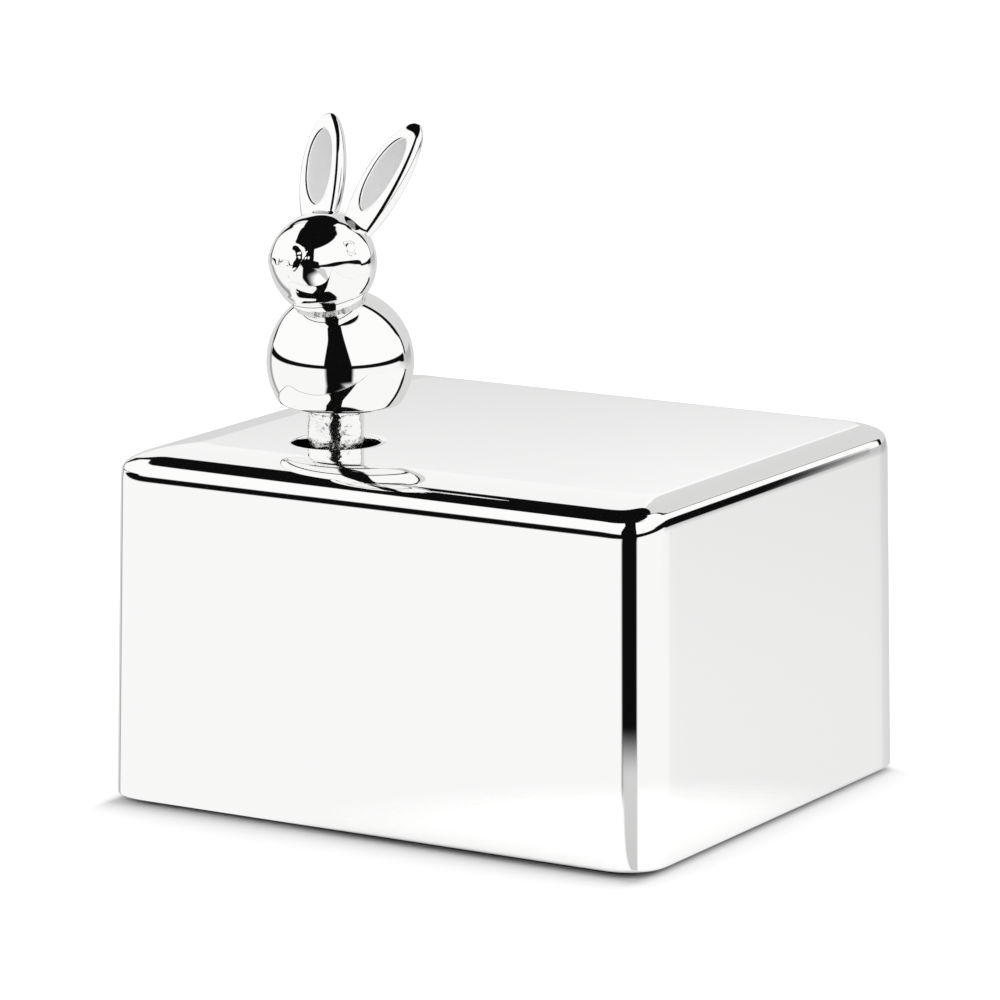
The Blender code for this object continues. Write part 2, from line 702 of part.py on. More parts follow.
def make_bedplate(movement):
    """The cast plate with the comb's seat, on rubber washers, held by three screws from below."""
    thread = SMALL_SCREW_RADIUS + SHAFT_GAP
    holes = [circle(0, 0, ARBOR_PIVOT_RADIUS + SHAFT_GAP, SMALL_STEPS * 2)]
    holes += [circle(x, y, BASE_SCREW_RADIUS + SHAFT_GAP, SMALL_STEPS) for x, y in PLATE_SCREWS]
    small = [(-FOOT_SCREW_X, 0), (FOOT_SCREW_X, 0), FRONT_FOOT_SCREW, REAR_FOOT_SCREW]
    holes += [circle(x, y, thread, SMALL_STEPS) for x, y in [*small, *GOVERNOR_SCREWS]]
    outline = rounded_rectangle(
        PLATE_LEFT, PLATE_RIGHT, PLATE_FRONT, PLATE_REAR, PLATE_CORNER_RADIUS
    )
    bed = plate([outline, *holes], -PLATE_THICKNESS, 0)
    seat_outline = rectangle(COMB_SEAT, COMB_END, COMB_FRONT, COMB_REAR)
    seat_holes = [circle(COMB_SCREW_X, y, thread, SMALL_STEPS) for y in COMB_SCREW_YS]
    seat = plate([seat_outline, *seat_holes], -PLATE_THICKNESS / 2, COMB_SEAT_TOP)
    piece("bedplate", joined(bed, seat), CAST_ZINC, movement)

    bore = BASE_SCREW_RADIUS + SHAFT_GAP
    top = -PLATE_THICKNESS - SEAT_GAP
    seat_height = BOARD_BOTTOM + COUNTERBORE_DEPTH - SEAT_GAP - PLATE_TOP
    length = -seat_height - SEAT_GAP
    for n, (x, y) in enumerate(PLATE_SCREWS, 1):
        rings = [circle(0, 0, WASHER_RADIUS, SMALL_STEPS * 2), circle(0, 0, bore, SMALL_STEPS)]
        washer = plate(rings, top - WASHER_THICKNESS, top)
        piece(f"rubber_washer_{n}", washer, RUBBER, movement, x, y)
        mesh = screw(BASE_SCREW_HEAD_RADIUS, BASE_SCREW_HEAD_HEIGHT, BASE_SCREW_RADIUS, length)
        piece(f"movement_screw_{n}", mesh, STEEL, movement, x, y, seat_height)


def make_great_wheel(wheel_axis):
    """A hub and web with 44 teeth standing on the rim and a ring of ratchet ramps inside them."""
    profile = (
        (WHEEL_BORE, SEAT_GAP),
        (WHEEL_HUB_RADIUS, SEAT_GAP),
        (WHEEL_HUB_RADIUS, WHEEL_WEB_LIFT),
        (RIM_OUTER, WHEEL_WEB_LIFT),
        (RIM_OUTER, TEETH_ROOT),
        (RIM_INNER, TEETH_ROOT),
        (RIM_INNER, WEB_TOP),
        (WHEEL_BORE, WEB_TOP),
    )
    web_middle = WEB_TOP - WHEEL_WEB_THICKNESS / 2
    pitch = 2 * math.pi / WHEEL_TEETH
    shares = (-TOOTH_ROOT_SHARE, -TOOTH_TIP_SHARE, TOOTH_TIP_SHARE, TOOTH_ROOT_SHARE)
    heights = (TEETH_ROOT, TEETH_TIP, TEETH_TIP, TEETH_ROOT)
    teeth = []
    for tooth in range(WHEEL_TEETH):
        # A gap lies at +Y, under the pinion's lowest tooth
        centre = math.radians(90) + (tooth + 0.5) * pitch
        angles = [centre + share * pitch / 2 for share in shares]
        inner = WHEEL_RADIUS - WHEEL_FACE / 2
        outer = WHEEL_RADIUS + WHEEL_FACE / 2
        teeth.append(sector(inner, outer, angles, heights, web_middle))
    ramp = 2 * math.pi / RATCHET_TEETH
    for tooth in range(RATCHET_TEETH):
        start = tooth * ramp
        angles = (start, start + ramp * RATCHET_LENGTH_SHARE)
        heights = (WEB_TOP, WEB_TOP + RATCHET_HEIGHT)
        inner = RATCHET_INNER_RADIUS
        teeth.append(sector(inner, RATCHET_OUTER_RADIUS, angles, heights, web_middle))
    wheel = joined(turned(profile, ROUND_STEPS + SMALL_STEPS), together(teeth))
    piece("great_wheel", wheel, BRASS, wheel_axis)


def click_outline():
    """A round hub with three arms that reach over the ratchet ramps."""
    half = math.asin(CLICK_ARM_WIDTH / 2 / CLICK_HUB_RADIUS)
    tip_half = math.asin(CLICK_ARM_WIDTH / 2 / RATCHET_OUTER_RADIUS)
    points = []
    for arm in range(CLICK_ARMS):
        centre = 2 * math.pi * arm / CLICK_ARMS
        following = centre + 2 * math.pi / CLICK_ARMS
        points += arc(0, 0, RATCHET_OUTER_RADIUS, centre - tip_half, centre + tip_half, 1)
        points += arc(0, 0, CLICK_HUB_RADIUS, centre + half, following - half, SMALL_STEPS // 2)
    return points


def make_shaft(rabbit_axis):
    """The winding arbor with its click, the lock nut, the extension and the post over it."""
    profile = (
        (0, -ARBOR_PIVOT_LENGTH),
        (ARBOR_PIVOT_RADIUS, -ARBOR_PIVOT_LENGTH),
        (ARBOR_PIVOT_RADIUS, SEAT_GAP),
        (ARBOR_RADIUS, SEAT_GAP),
        (ARBOR_RADIUS, ARBOR_SHOULDER),
        (ARBOR_STUB_RADIUS, ARBOR_SHOULDER),
        (ARBOR_STUB_RADIUS, ARBOR_SHOULDER + ARBOR_STUB_LENGTH),
        (0, ARBOR_SHOULDER + ARBOR_STUB_LENGTH),
    )
    piece("winding_arbor", turned(profile, SMALL_STEPS * 2), STEEL, rabbit_axis)

    bore = circle(0, 0, ARBOR_RADIUS + SHAFT_GAP, SMALL_STEPS * 2)
    click = plate([click_outline(), bore], CLICK_BOTTOM, CLICK_BOTTOM + CLICK_THICKNESS)
    piece("click_spring", click, BLUED_STEEL, rabbit_axis)

    corner = NUT_ACROSS_FLATS / 2 / math.cos(math.radians(30))
    stub_bore = ARBOR_STUB_RADIUS + SHAFT_GAP
    rings = [circle(0, 0, corner, 6), circle(0, 0, stub_bore, SMALL_STEPS)]
    nut = plate(rings, NUT_BOTTOM, NUT_BOTTOM + NUT_THICKNESS)
    piece("lock_nut", nut, STEEL, rabbit_axis)

    profile = (
        (0, EXTENSION_BOTTOM + EXTENSION_BORE_DEPTH),
        (stub_bore, EXTENSION_BOTTOM + EXTENSION_BORE_DEPTH),
        (stub_bore, EXTENSION_BOTTOM),
        (EXTENSION_RADIUS, EXTENSION_BOTTOM),
        (EXTENSION_RADIUS, EXTENSION_TOP),
        (ARBOR_STUB_RADIUS, EXTENSION_TOP),
        (ARBOR_STUB_RADIUS, EXTENSION_TOP + STUD_LENGTH),
        (0, EXTENSION_TOP + STUD_LENGTH),
    )
    piece("shaft_extension", turned(profile, SMALL_STEPS * 2), BRASS, rabbit_axis)

    bore_top = EXTENSION_TOP + STUD_LENGTH + POST_BORE_SPARE
    profile = (
        (0, bore_top),
        (stub_bore, bore_top),
        (stub_bore, POST_BOTTOM),
        (POST_RADIUS, POST_BOTTOM),
        (POST_RADIUS, BODY_BOTTOM - SEAT_GAP),
        (0, BODY_BOTTOM - SEAT_GAP),
    )
    piece("figure_post", turned(profile), CAST_SILVER, rabbit_axis)


def ear_ring(share):
    """One level section of an ear, share of the way from its root to its tip."""
    away = abs(share - EAR_WIDEST_SHARE) / (1 - EAR_WIDEST_SHARE)
    swell = math.sqrt(max(1 - away**EAR_ROUNDNESS, 0))
    half = EAR_WIDTH / 2 * swell
    points = []
    for across in (-1, *EAR_FRONT_SHARES, 1):
        front = EAR_FRONT * math.sqrt(1 - across * across)
        if abs(across) < EAR_PANEL_SHARE:
            front -= EAR_RECESS
        points.append((half * across, -front * swell, EAR_LENGTH * share))
    for across in EAR_BACK_SHARES:
        back = EAR_BACK * math.sqrt(1 - across * across)
        points.append((half * across, back * swell, EAR_LENGTH * share))
    return points


def make_ear(side):
    """An ear with a sunk panel on its face, leaning back and outwards, cut to fit on the head."""
    last = 1 - 1 / EAR_STATIONS**2
    rings = []
    for n in range(EAR_STATIONS + 1):
        way = math.sin(math.pi / 2 * n / EAR_STATIONS)
        rings.append(ear_ring(way * (last + EAR_ROOT_SHARE) - EAR_ROOT_SHARE))
    mesh = lofted(rings)
    mesh.transform(Matrix.Rotation(side * math.radians(EAR_SPREAD_DEG), 4, "Y"))
    mesh.transform(Matrix.Rotation(-math.radians(EAR_LEAN_DEG), 4, "X"))
    moved(mesh, side * EAR_SIDE, EAR_BEHIND, EAR_ABOVE)
    mesh.transform(Matrix.Rotation(math.radians(EARS_TILT_DEG), 4, "Y"))
    return cut(mesh, ball(HEAD_RADIUS + SEAT_GAP))


def make_head():
    """A ball with a low muzzle, cut below to sit on the body."""
    mesh = ball(HEAD_RADIUS)
    up = math.radians(FACE_UP_DEG)
    spread = math.radians(MUZZLE_SPREAD_DEG)
    for vertex in mesh.vertices:
        ahead = (-vertex.co.y * math.cos(up) + vertex.co.z * math.sin(up)) / vertex.co.length
        angle = math.acos(max(-1, min(1, ahead)))
        swell = MUZZLE_RISE * math.exp(-((angle / spread) ** 2))
        vertex.co *= 1 + swell / HEAD_RADIUS
    body = moved(ball(BODY_RADIUS + SEAT_GAP), 0, BODY_BACK + HEAD_FORWARD, -HEAD_RISE)
    return cut(mesh, body)


def make_rabbit(rabbit_axis):
    """Body, head and two ears, soldered together on the real figure."""
    body = footed_ball(BODY_RADIUS, BODY_FOOT, BODY_FOOT_ROUNDING)
    piece("rabbit_body", body, SILVER, rabbit_axis, 0, BODY_BACK, BODY_HEIGHT)
    piece("rabbit_head", make_head(), SILVER, rabbit_axis, 0, -HEAD_FORWARD, HEAD_HEIGHT)
    for name, side in (("rabbit_ear_left", -1), ("rabbit_ear_right", 1)):
        piece(name, make_ear(side), SILVER, rabbit_axis, 0, -HEAD_FORWARD, HEAD_HEIGHT)


def spring_ribbon():
    """A flat strip wound in a spiral between the arbor and the barrel's wall."""
    inner = ARBOR_RADIUS + 2 * SIDE_GAP
    outer = BARREL_INNER - SIDE_GAP - SPRING_THICKNESS
    bottom = BARREL_BOTTOM + BARREL_FLOOR_THICKNESS + SEAT_GAP
    top = BARREL_TOP - BARREL_WALL - SEAT_GAP
    count = SPRING_TURNS * SPRING_POINTS_PER_TURN
    rings = []
    for n in range(count + 1):
        angle = 2 * math.pi * n / SPRING_POINTS_PER_TURN
        radius = inner + (outer - inner) * n / count
        corners = (
            (radius, bottom),
            (radius + SPRING_THICKNESS, bottom),
            (radius + SPRING_THICKNESS, top),
            (radius, top),
        )
        rings.append([(r * math.cos(angle), r * math.sin(angle), z) for r, z in corners])
    return lofted(rings)


def barrel_leg(side):
    """An arm from the barrel over the wheel's teeth, down to a foot on the bedplate."""
    arm_top = BARREL_BOTTOM + LEG_ARM_THICKNESS
    outline = (
        (BARREL_RADIUS - BARREL_WALL / 2, BARREL_BOTTOM),
        (LEG_INNER, BARREL_BOTTOM),
        (LEG_INNER, SEAT_GAP),
        (FOOT_END, SEAT_GAP),
        (FOOT_END, FOOT_TOP),
        (LEG_OUTER, FOOT_TOP),
        (LEG_OUTER, arm_top),
        (BARREL_RADIUS - BARREL_WALL / 2, arm_top),
    )
    leg = wall_plate([outline], -LEG_WIDTH / 2, LEG_WIDTH / 2)
    bore = SMALL_SCREW_RADIUS + SHAFT_GAP
    leg = cut(leg, rod(FOOT_SCREW_X, 0, bore, -OVERRUN, FOOT_TOP + OVERRUN))
    if side < 0:
        leg.transform(Matrix.Rotation(math.pi, 4, "Z"))
    return leg


def make_barrel(movement):
    """The fixed barrel with two legs, its floor, the mainspring and two screws."""
    bore = ARBOR_RADIUS + SHAFT_GAP
    profile = (
        (BARREL_INNER, BARREL_BOTTOM),
        (BARREL_RADIUS, BARREL_BOTTOM),
        (BARREL_RADIUS, BARREL_TOP),
        (bore, BARREL_TOP),
        (bore, BARREL_TOP - BARREL_WALL),
        (BARREL_INNER, BARREL_TOP - BARREL_WALL),
    )
    barrel = joined(turned(profile, ROUND_STEPS), barrel_leg(1), barrel_leg(-1))
    piece("spring_barrel", barrel, STEEL, movement)

    rings = [circle(0, 0, BARREL_INNER - SHAFT_GAP), circle(0, 0, bore, SMALL_STEPS * 2)]
    floor = plate(rings, BARREL_BOTTOM, BARREL_BOTTOM + BARREL_FLOOR_THICKNESS)
    piece("barrel_floor", floor, STEEL, movement)
    piece("mainspring", spring_ribbon(), BLUED_STEEL, movement)
    for n, side in enumerate((-1, 1), 1):
        place = (side * FOOT_SCREW_X, 0, FOOT_TOP + SEAT_GAP)
        small_screw(f"barrel_screw_{n}", movement, place)


def small_screw(name, movement, place):
    """A movement screw driven down from above. place is the underside of its head."""
    mesh = screw(
        SMALL_SCREW_HEAD_RADIUS, SMALL_SCREW_HEAD_HEIGHT, SMALL_SCREW_RADIUS, SMALL_SCREW_LENGTH
    )
    piece(name, mesh, BLUED_STEEL, movement, *place, upside_down=True)


def cylinder_pins():
    """The pins of the tune, five to a track, spread round the cylinder by a fixed rule."""
    half = PIN_WIDTH / 2
    pins = []
    for track in range(TRACKS):
        height = TRACK_MARGIN + (track + 0.5) * TRACK_PITCH
        for note in range(NOTES_PER_TRACK):
            place = (track * TRACK_STEP + note * NOTE_STEP + track * note % NOTE_SHIFTS) % NOTE_PLACES
            pin = block(CYLINDER_RADIUS - PIN_ROOT, PIN_TIP, -half, half, -half, half)
            pin.transform(Matrix.Rotation(2 * math.pi * place / NOTE_PLACES, 4, "Z"))
            pins.append(moved(pin, z=height))
    return together(pins)


def make_cylinder(cylinder_axis):
    """The pinned cylinder on its arbor, with the driving pinion in front and the wheel behind."""
    hub = 2 * CYLINDER_ARBOR_RADIUS
    skin = CYLINDER_RADIUS - CYLINDER_SKIN
    profile = (
        (ARBOR_BORE, 0),
        (hub, 0),
        (hub, CYLINDER_CAP_DEPTH),
        (skin, CYLINDER_CAP_DEPTH),
        (skin, 0),
        (CYLINDER_RADIUS, 0),
        (CYLINDER_RADIUS, CYLINDER_LENGTH),
        (ARBOR_BORE, CYLINDER_LENGTH),
    )
    barrel = joined(turned(profile), cylinder_pins())
    piece("pinned_cylinder", barrel, BRASS, cylinder_axis, z=CYLINDER_FRONT)

    end = REAR_BRACKET_BACK + SEAT_GAP
    arbor = rod(0, 0, CYLINDER_ARBOR_RADIUS, PINION_FRONT, end, SMALL_STEPS)
    piece("cylinder_arbor", arbor, STEEL, cylinder_axis)

    bore = circle(0, 0, ARBOR_BORE, SMALL_STEPS)
    # One tooth points along the axis' own +Y, which is down towards the great wheel
    quarter = PINION_TEETH / 4 % 1
    pinion = plate([gear_outline(PINION_TEETH, WHEEL_MODULE, quarter), bore], 0, PINION_FACE)
    piece("cylinder_pinion", pinion, STEEL, cylinder_axis, z=PINION_FRONT)

    half_turn = CYLINDER_WHEEL_TEETH / 2 % 1
    outline = gear_outline(CYLINDER_WHEEL_TEETH, FINE_MODULE, half_turn)
    wheel = plate([outline, bore], 0, CYLINDER_WHEEL_FACE)
    piece("cylinder_wheel", wheel, BRASS, cylinder_axis, z=CYLINDER_WHEEL_FRONT)


def bearing_bracket(front, foot_left, foot_right, foot_front, foot_rear, screw_place):
    """An upright plate with a round head and a bearing hole, and a foot with a screw hole."""
    head = arc(0, AXIS_HEIGHT, BRACKET_HALF_WIDTH, 0, math.pi, SMALL_STEPS)
    foot_of_plate = [(-BRACKET_HALF_WIDTH, SEAT_GAP), (BRACKET_HALF_WIDTH, SEAT_GAP)]
    bearing = circle(0, AXIS_HEIGHT, ARBOR_BORE, SMALL_STEPS)
    upright = wall_plate([head + foot_of_plate, bearing], front, front + BRACKET_THICKNESS)
    rings = [
        rectangle(foot_left, foot_right, foot_front, foot_rear),
        circle(*screw_place, SMALL_SCREW_RADIUS + SHAFT_GAP, SMALL_STEPS),
    ]
    foot = plate(rings, SEAT_GAP, SEAT_GAP + BRACKET_FOOT_THICKNESS)
    return joined(upright, foot)


def make_brackets(movement):
    """The two brackets that the cylinder's arbor turns in, each with one screw."""
    reach = BRACKET_HALF_WIDTH + BRACKET_FOOT_LENGTH
    front = bearing_bracket(
        FRONT_BRACKET,
        -reach,
        -BRACKET_HALF_WIDTH / 2,
        FRONT_BRACKET,
        FRONT_BRACKET + BRACKET_FOOT_DEPTH,
        FRONT_FOOT_SCREW,
    )
    piece("front_bracket", front, BRASS, movement)
    rear = bearing_bracket(
        REAR_BRACKET,
        BRACKET_HALF_WIDTH / 2,
        reach,
        REAR_BRACKET,
        REAR_BRACKET_BACK + BRACKET_FOOT_DEPTH - SEAT_GAP,
        REAR_FOOT_SCREW,
    )
    piece("rear_bracket", rear, BRASS, movement)
    height = SEAT_GAP + BRACKET_FOOT_THICKNESS + SEAT_GAP
    small_screw("front_bracket_screw", movement, (*FRONT_FOOT_SCREW, height))
    small_screw("rear_bracket_screw", movement, (*REAR_FOOT_SCREW, height))


def comb_outline():
    """The comb seen from above: a solid back edge, and a reed for each track, longest at the front."""
    points = [(COMB_END, COMB_FRONT), (COMB_END, COMB_REAR)]
    first = CYLINDER_FRONT + TRACK_MARGIN
    for track in reversed(range(TRACKS)):
        root = COMB_TIP + COMB_REED_LENGTH - track * COMB_REED_STEP
        low = first + track * TRACK_PITCH + COMB_SLOT / 2
        high = low + TRACK_PITCH - COMB_SLOT
        if track == TRACKS - 1:
            points.append((root, COMB_REAR))
        points += [(root, high), (COMB_TIP, high), (COMB_TIP, low), (root, low)]
    points.append((COMB_TIP + COMB_REED_LENGTH, COMB_FRONT))
    return points


def make_comb(movement):
    """The comb on its seat, with three screws."""
    bore = SMALL_SCREW_RADIUS + SHAFT_GAP
    holes = [circle(COMB_SCREW_X, y, bore, SMALL_STEPS) for y in COMB_SCREW_YS]
    comb = plate([comb_outline(), *holes], AXIS_HEIGHT - COMB_THICKNESS, AXIS_HEIGHT)
    piece("comb", comb, STEEL, movement)
    for n, y in enumerate(COMB_SCREW_YS, 1):
        small_screw(f"comb_screw_{n}", movement, (COMB_SCREW_X, y, AXIS_HEIGHT + SEAT_GAP))


def make_governor_frame(movement):
    """One casting: two cheeks for the wheel's arbor, a block and an arm for the worm, and a base."""
    base = block(
        GOVERNOR_LEFT, GOVERNOR_RIGHT, GOVERNOR_FRONT, REAR_CHEEK_BACK, SEAT_GAP, GOVERNOR_BASE_TOP
    )
    middle = SEAT_GAP + GOVERNOR_BASE_THICKNESS / 2
    left = GOVERNOR_X - CHEEK_HALF_WIDTH
    right = -PIN_TIP - SIDE_GAP
    front_cheek = block(
        left, right, FRONT_CHEEK, FRONT_CHEEK + CHEEK_THICKNESS, middle, CHEEK_TOP
    )
    rear_cheek = block(
        left, GOVERNOR_RIGHT - SEAT_GAP, REAR_CHEEK, REAR_CHEEK_BACK - SEAT_GAP, middle, CHEEK_TOP
    )
    worm_block = block(
        UPRIGHT_RIGHT - GOVERNOR_WALL / 2,
        WORM_X + WORM_BLOCK_HALF_WIDTH,
        WORM_Y - WORM_BLOCK_HALF_WIDTH / 2,
        REAR_CHEEK,
        middle,
        WORM_BLOCK_HEIGHT,
    )
    hook = (
        (GOVERNOR_LEFT + SEAT_GAP, middle),
        (UPRIGHT_RIGHT, middle),
        (UPRIGHT_RIGHT, ARM_BOTTOM),
        (WORM_X + WORM_BLOCK_HALF_WIDTH, ARM_BOTTOM),
        (WORM_X + WORM_BLOCK_HALF_WIDTH, ARM_TOP),
        (GOVERNOR_LEFT + SEAT_GAP, ARM_TOP),
    )
    arm = wall_plate([hook], WORM_Y - WORM_BLOCK_HALF_WIDTH, WORM_Y + WORM_BLOCK_HALF_WIDTH)
    frame = joined(base, front_cheek, rear_cheek, worm_block, arm)
    thread = SMALL_SCREW_RADIUS + SHAFT_GAP
    cutters = [rod(x, y, thread, -OVERRUN, middle + OVERRUN) for x, y in GOVERNOR_SCREWS]
    arbor_bore = GOVERNOR_ARBOR_RADIUS + SHAFT_GAP
    rear_end = REAR_CHEEK_BACK + OVERRUN
    cutters.append(cross_rod(GOVERNOR_X, AXIS_HEIGHT, arbor_bore, GOVERNOR_FRONT, rear_end))
    worm_bore = WORM_ARBOR_RADIUS + SHAFT_GAP
    pivot_floor = WORM_BLOCK_HEIGHT - WORM_PIVOT_DEPTH
    cutters.append(rod(WORM_X, WORM_Y, worm_bore, pivot_floor, ARM_TOP + OVERRUN))
    piece("governor_frame", cut(frame, *cutters), CAST_ZINC, movement)
    for n, place in enumerate(GOVERNOR_SCREWS, 1):
        small_screw(f"governor_screw_{n}", movement, (*place, GOVERNOR_BASE_TOP + SEAT_GAP))


def make_governor_wheel(governor_axis):
    """A pinion and a worm wheel cut on one arbor."""
    start = FRONT_CHEEK
    end = REAR_CHEEK_BACK
    arbor = rod(0, 0, GOVERNOR_ARBOR_RADIUS, start, end)
    # A gap of the pinion faces the cylinder's wheel at +X, and a tooth faces the worm at -X
    pinion_outline = gear_outline(GOVERNOR_PINION_TEETH, FINE_MODULE, 0.5)
    pinion = plate([pinion_outline], GOVERNOR_PINION_FRONT, GOVERNOR_PINION_REAR)
    half_turn = WORM_WHEEL_TEETH / 2 % 1
    wheel_outline = gear_outline(WORM_WHEEL_TEETH, WORM_MODULE, half_turn)
    wheel = plate([wheel_outline], WORM_WHEEL_FRONT, WORM_WHEEL_REAR)
    piece("governor_wheel", joined(arbor, pinion, wheel), BRASS, governor_axis)


def worm_ring(height):
    """One level section of the worm, whose radius follows a right hand thread."""
    points = []
    for n in range(SMALL_STEPS):
        angle = 2 * math.pi * n / SMALL_STEPS
        phase = (height - AXIS_HEIGHT) / WORM_LEAD - angle / (2 * math.pi)
        ridge = 2 * abs(phase - round(phase))
        rise = (ridge - 1 + TOOTH_ROOT_SHARE) / (TOOTH_ROOT_SHARE - TOOTH_TIP_SHARE)
        rise = max(0, min(1, rise))
        radius = WORM_ROOT_RADIUS + (WORM_TIP_RADIUS - WORM_ROOT_RADIUS) * rise
        points.append((radius * math.cos(angle), radius * math.sin(angle), height))
    return points


def make_worm(worm_axis):
    """The worm on its upright arbor, and the fan above the arm."""
    ends = [
        [(*point, height) for point in circle(0, 0, WORM_ARBOR_RADIUS, SMALL_STEPS)]
        for height in (
            WORM_BLOCK_HEIGHT - WORM_PIVOT_DEPTH + SEAT_GAP,
            WORM_BOTTOM,
            WORM_TOP,
            WORM_ARBOR_TOP,
        )
    ]
    count = round(WORM_LENGTH / WORM_LEAD * WORM_STEPS_PER_TURN)
    heights = [WORM_BOTTOM + WORM_LENGTH * n / count for n in range(count + 1)]
    worm = lofted([*ends[:2], *(worm_ring(height) for height in heights), *ends[2:]])
    piece("worm", worm, STEEL, worm_axis)

    hub = plate([circle(0, 0, FAN_HUB_RADIUS, SMALL_STEPS)], FAN_BOTTOM, FAN_TOP)
    half = FAN_BLADE_THICKNESS / 2
    blades = block(
        -FAN_RADIUS, FAN_RADIUS, -half, half, FAN_BOTTOM + SEAT_GAP, FAN_TOP - SEAT_GAP
    )
    bore = rod(0, 0, WORM_ARBOR_RADIUS + SHAFT_GAP, FAN_BOTTOM - OVERRUN, FAN_TOP + OVERRUN)
    piece("fan", cut(joined(hub, blades), bore), PLASTIC, worm_axis)


for old in list(bpy.data.objects):
    bpy.data.objects.remove(old)

movement_origin = axis("movement", None, POST_X, POST_Y, PLATE_TOP)
great_wheel_axis = axis("great_wheel_axis", movement_origin)
rabbit_turning_axis = axis("rabbit_axis", great_wheel_axis)
cylinder_turning_axis = axis("cylinder_axis", movement_origin, z=AXIS_HEIGHT, along_y=True)
governor_turning_axis = axis(
    "governor_axis", movement_origin, x=GOVERNOR_X, z=AXIS_HEIGHT, along_y=True
)
worm_turning_axis = axis("worm_axis", movement_origin, WORM_X, WORM_Y)

make_case()
make_bedplate(movement_origin)
make_great_wheel(great_wheel_axis)
make_shaft(rabbit_turning_axis)
make_rabbit(rabbit_turning_axis)
make_barrel(movement_origin)
make_cylinder(cylinder_turning_axis)
make_brackets(movement_origin)
make_comb(movement_origin)
make_governor_frame(movement_origin)
make_governor_wheel(governor_turning_axis)
make_worm(worm_turning_axis)
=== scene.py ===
"""The looks of a silver plated music box: a polished case with a rabbit for its winding knob.

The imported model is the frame. Each section makes one piece or group of pieces, in the order in
which the box is put together. Metres, +Z up, the front faces -Y.
"""

import math

import bpy
import numpy as np
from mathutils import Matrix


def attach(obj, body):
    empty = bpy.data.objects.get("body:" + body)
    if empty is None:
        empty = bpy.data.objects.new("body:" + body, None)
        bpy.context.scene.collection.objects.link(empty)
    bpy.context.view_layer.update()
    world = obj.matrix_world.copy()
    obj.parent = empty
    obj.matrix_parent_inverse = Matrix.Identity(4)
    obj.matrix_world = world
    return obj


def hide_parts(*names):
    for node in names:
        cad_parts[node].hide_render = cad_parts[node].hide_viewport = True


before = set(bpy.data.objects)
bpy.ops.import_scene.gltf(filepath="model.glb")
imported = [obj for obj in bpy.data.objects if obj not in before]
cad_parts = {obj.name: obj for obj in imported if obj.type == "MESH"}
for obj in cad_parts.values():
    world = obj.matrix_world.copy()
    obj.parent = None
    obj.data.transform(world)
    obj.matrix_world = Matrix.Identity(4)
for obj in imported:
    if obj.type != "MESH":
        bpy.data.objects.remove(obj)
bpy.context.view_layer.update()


# Camera. A long lens on a stand nearly a metre away, off the box's front right corner and a little
# above it. Its place was solved from the corners and edges of the case in the photograph.

camera = bpy.data.objects.new("camera", bpy.data.cameras.new("camera"))
bpy.context.scene.collection.objects.link(camera)
camera.location = (0.436386, -0.733538, 0.215541)
camera.rotation_euler = [math.radians(angle) for angle in (90 - 11.4871, 0, 30.8239)]
camera.data.sensor_width = 36
camera.data.lens = 216.67
camera.data.clip_start = 0.05
bpy.context.scene.camera = camera


# Case. One casting, open below, with four lugs in its lower corners for the base's screws. It is
# silver plated and mirror polished, and its upper edge rolls over in a wide flattened curve.

CASE_HALF_WIDTH = 0.045
CASE_HALF_DEPTH = 0.039
CASE_FOOT = 0.0008
CASE_TOP = 0.0518
CORNER_REACH = 0.0073
CORNER_FULLNESS = 2.55
TOP_CORNER = 0.0038
WALL = 0.0014
ROOF = 0.0016
DRAFT = 0.0007
WIDE_BENDS = (
    (0, 0.0216),
    (15, 0.0216),
    (20, 0.0100),
    (28, 0.0065),
    (38, 0.0055),
    (40, 0.0018),
    (80.5, 0.0018),
    (82, 0.0150),
    (86, 0.0150),
    (90, 0.0100),
)
SHARP_BENDS = (
    (0, 0.0030),
    (11, 0.0030),
    (13, 0.0080),
    (28, 0.0080),
    (32, 0.0022),
    (53, 0.0022),
    (55, 0.0004),
    (67, 0.0004),
    (69, 0.0045),
    (76, 0.0045),
    (78, 0.0090),
    (83, 0.0090),
    (86, 0.0057),
    (90, 0.0057),
)
POST_X = -0.0184
POST_Y = -0.0173
HOLE_RADIUS = 0.0064
HOLE_ROUNDING = 0.0003
FOOT_ROUNDING = 0.0003
CORNER_STEPS = 32
SIDE_STEPS = 20
OUTER_EDGE_STEPS = 90
INNER_EDGE_STEPS = 15
WALL_SHARES = (0.006, 0.05, 0.15, 0.25, 0.35, 0.45, 0.55, 0.65, 0.75, 0.85, 0.95, 0.985, 0.997)
TOP_SHARES = (0.01, 0.04, 0.2, 0.4, 0.6, 0.8, 0.95, 0.985, 1)


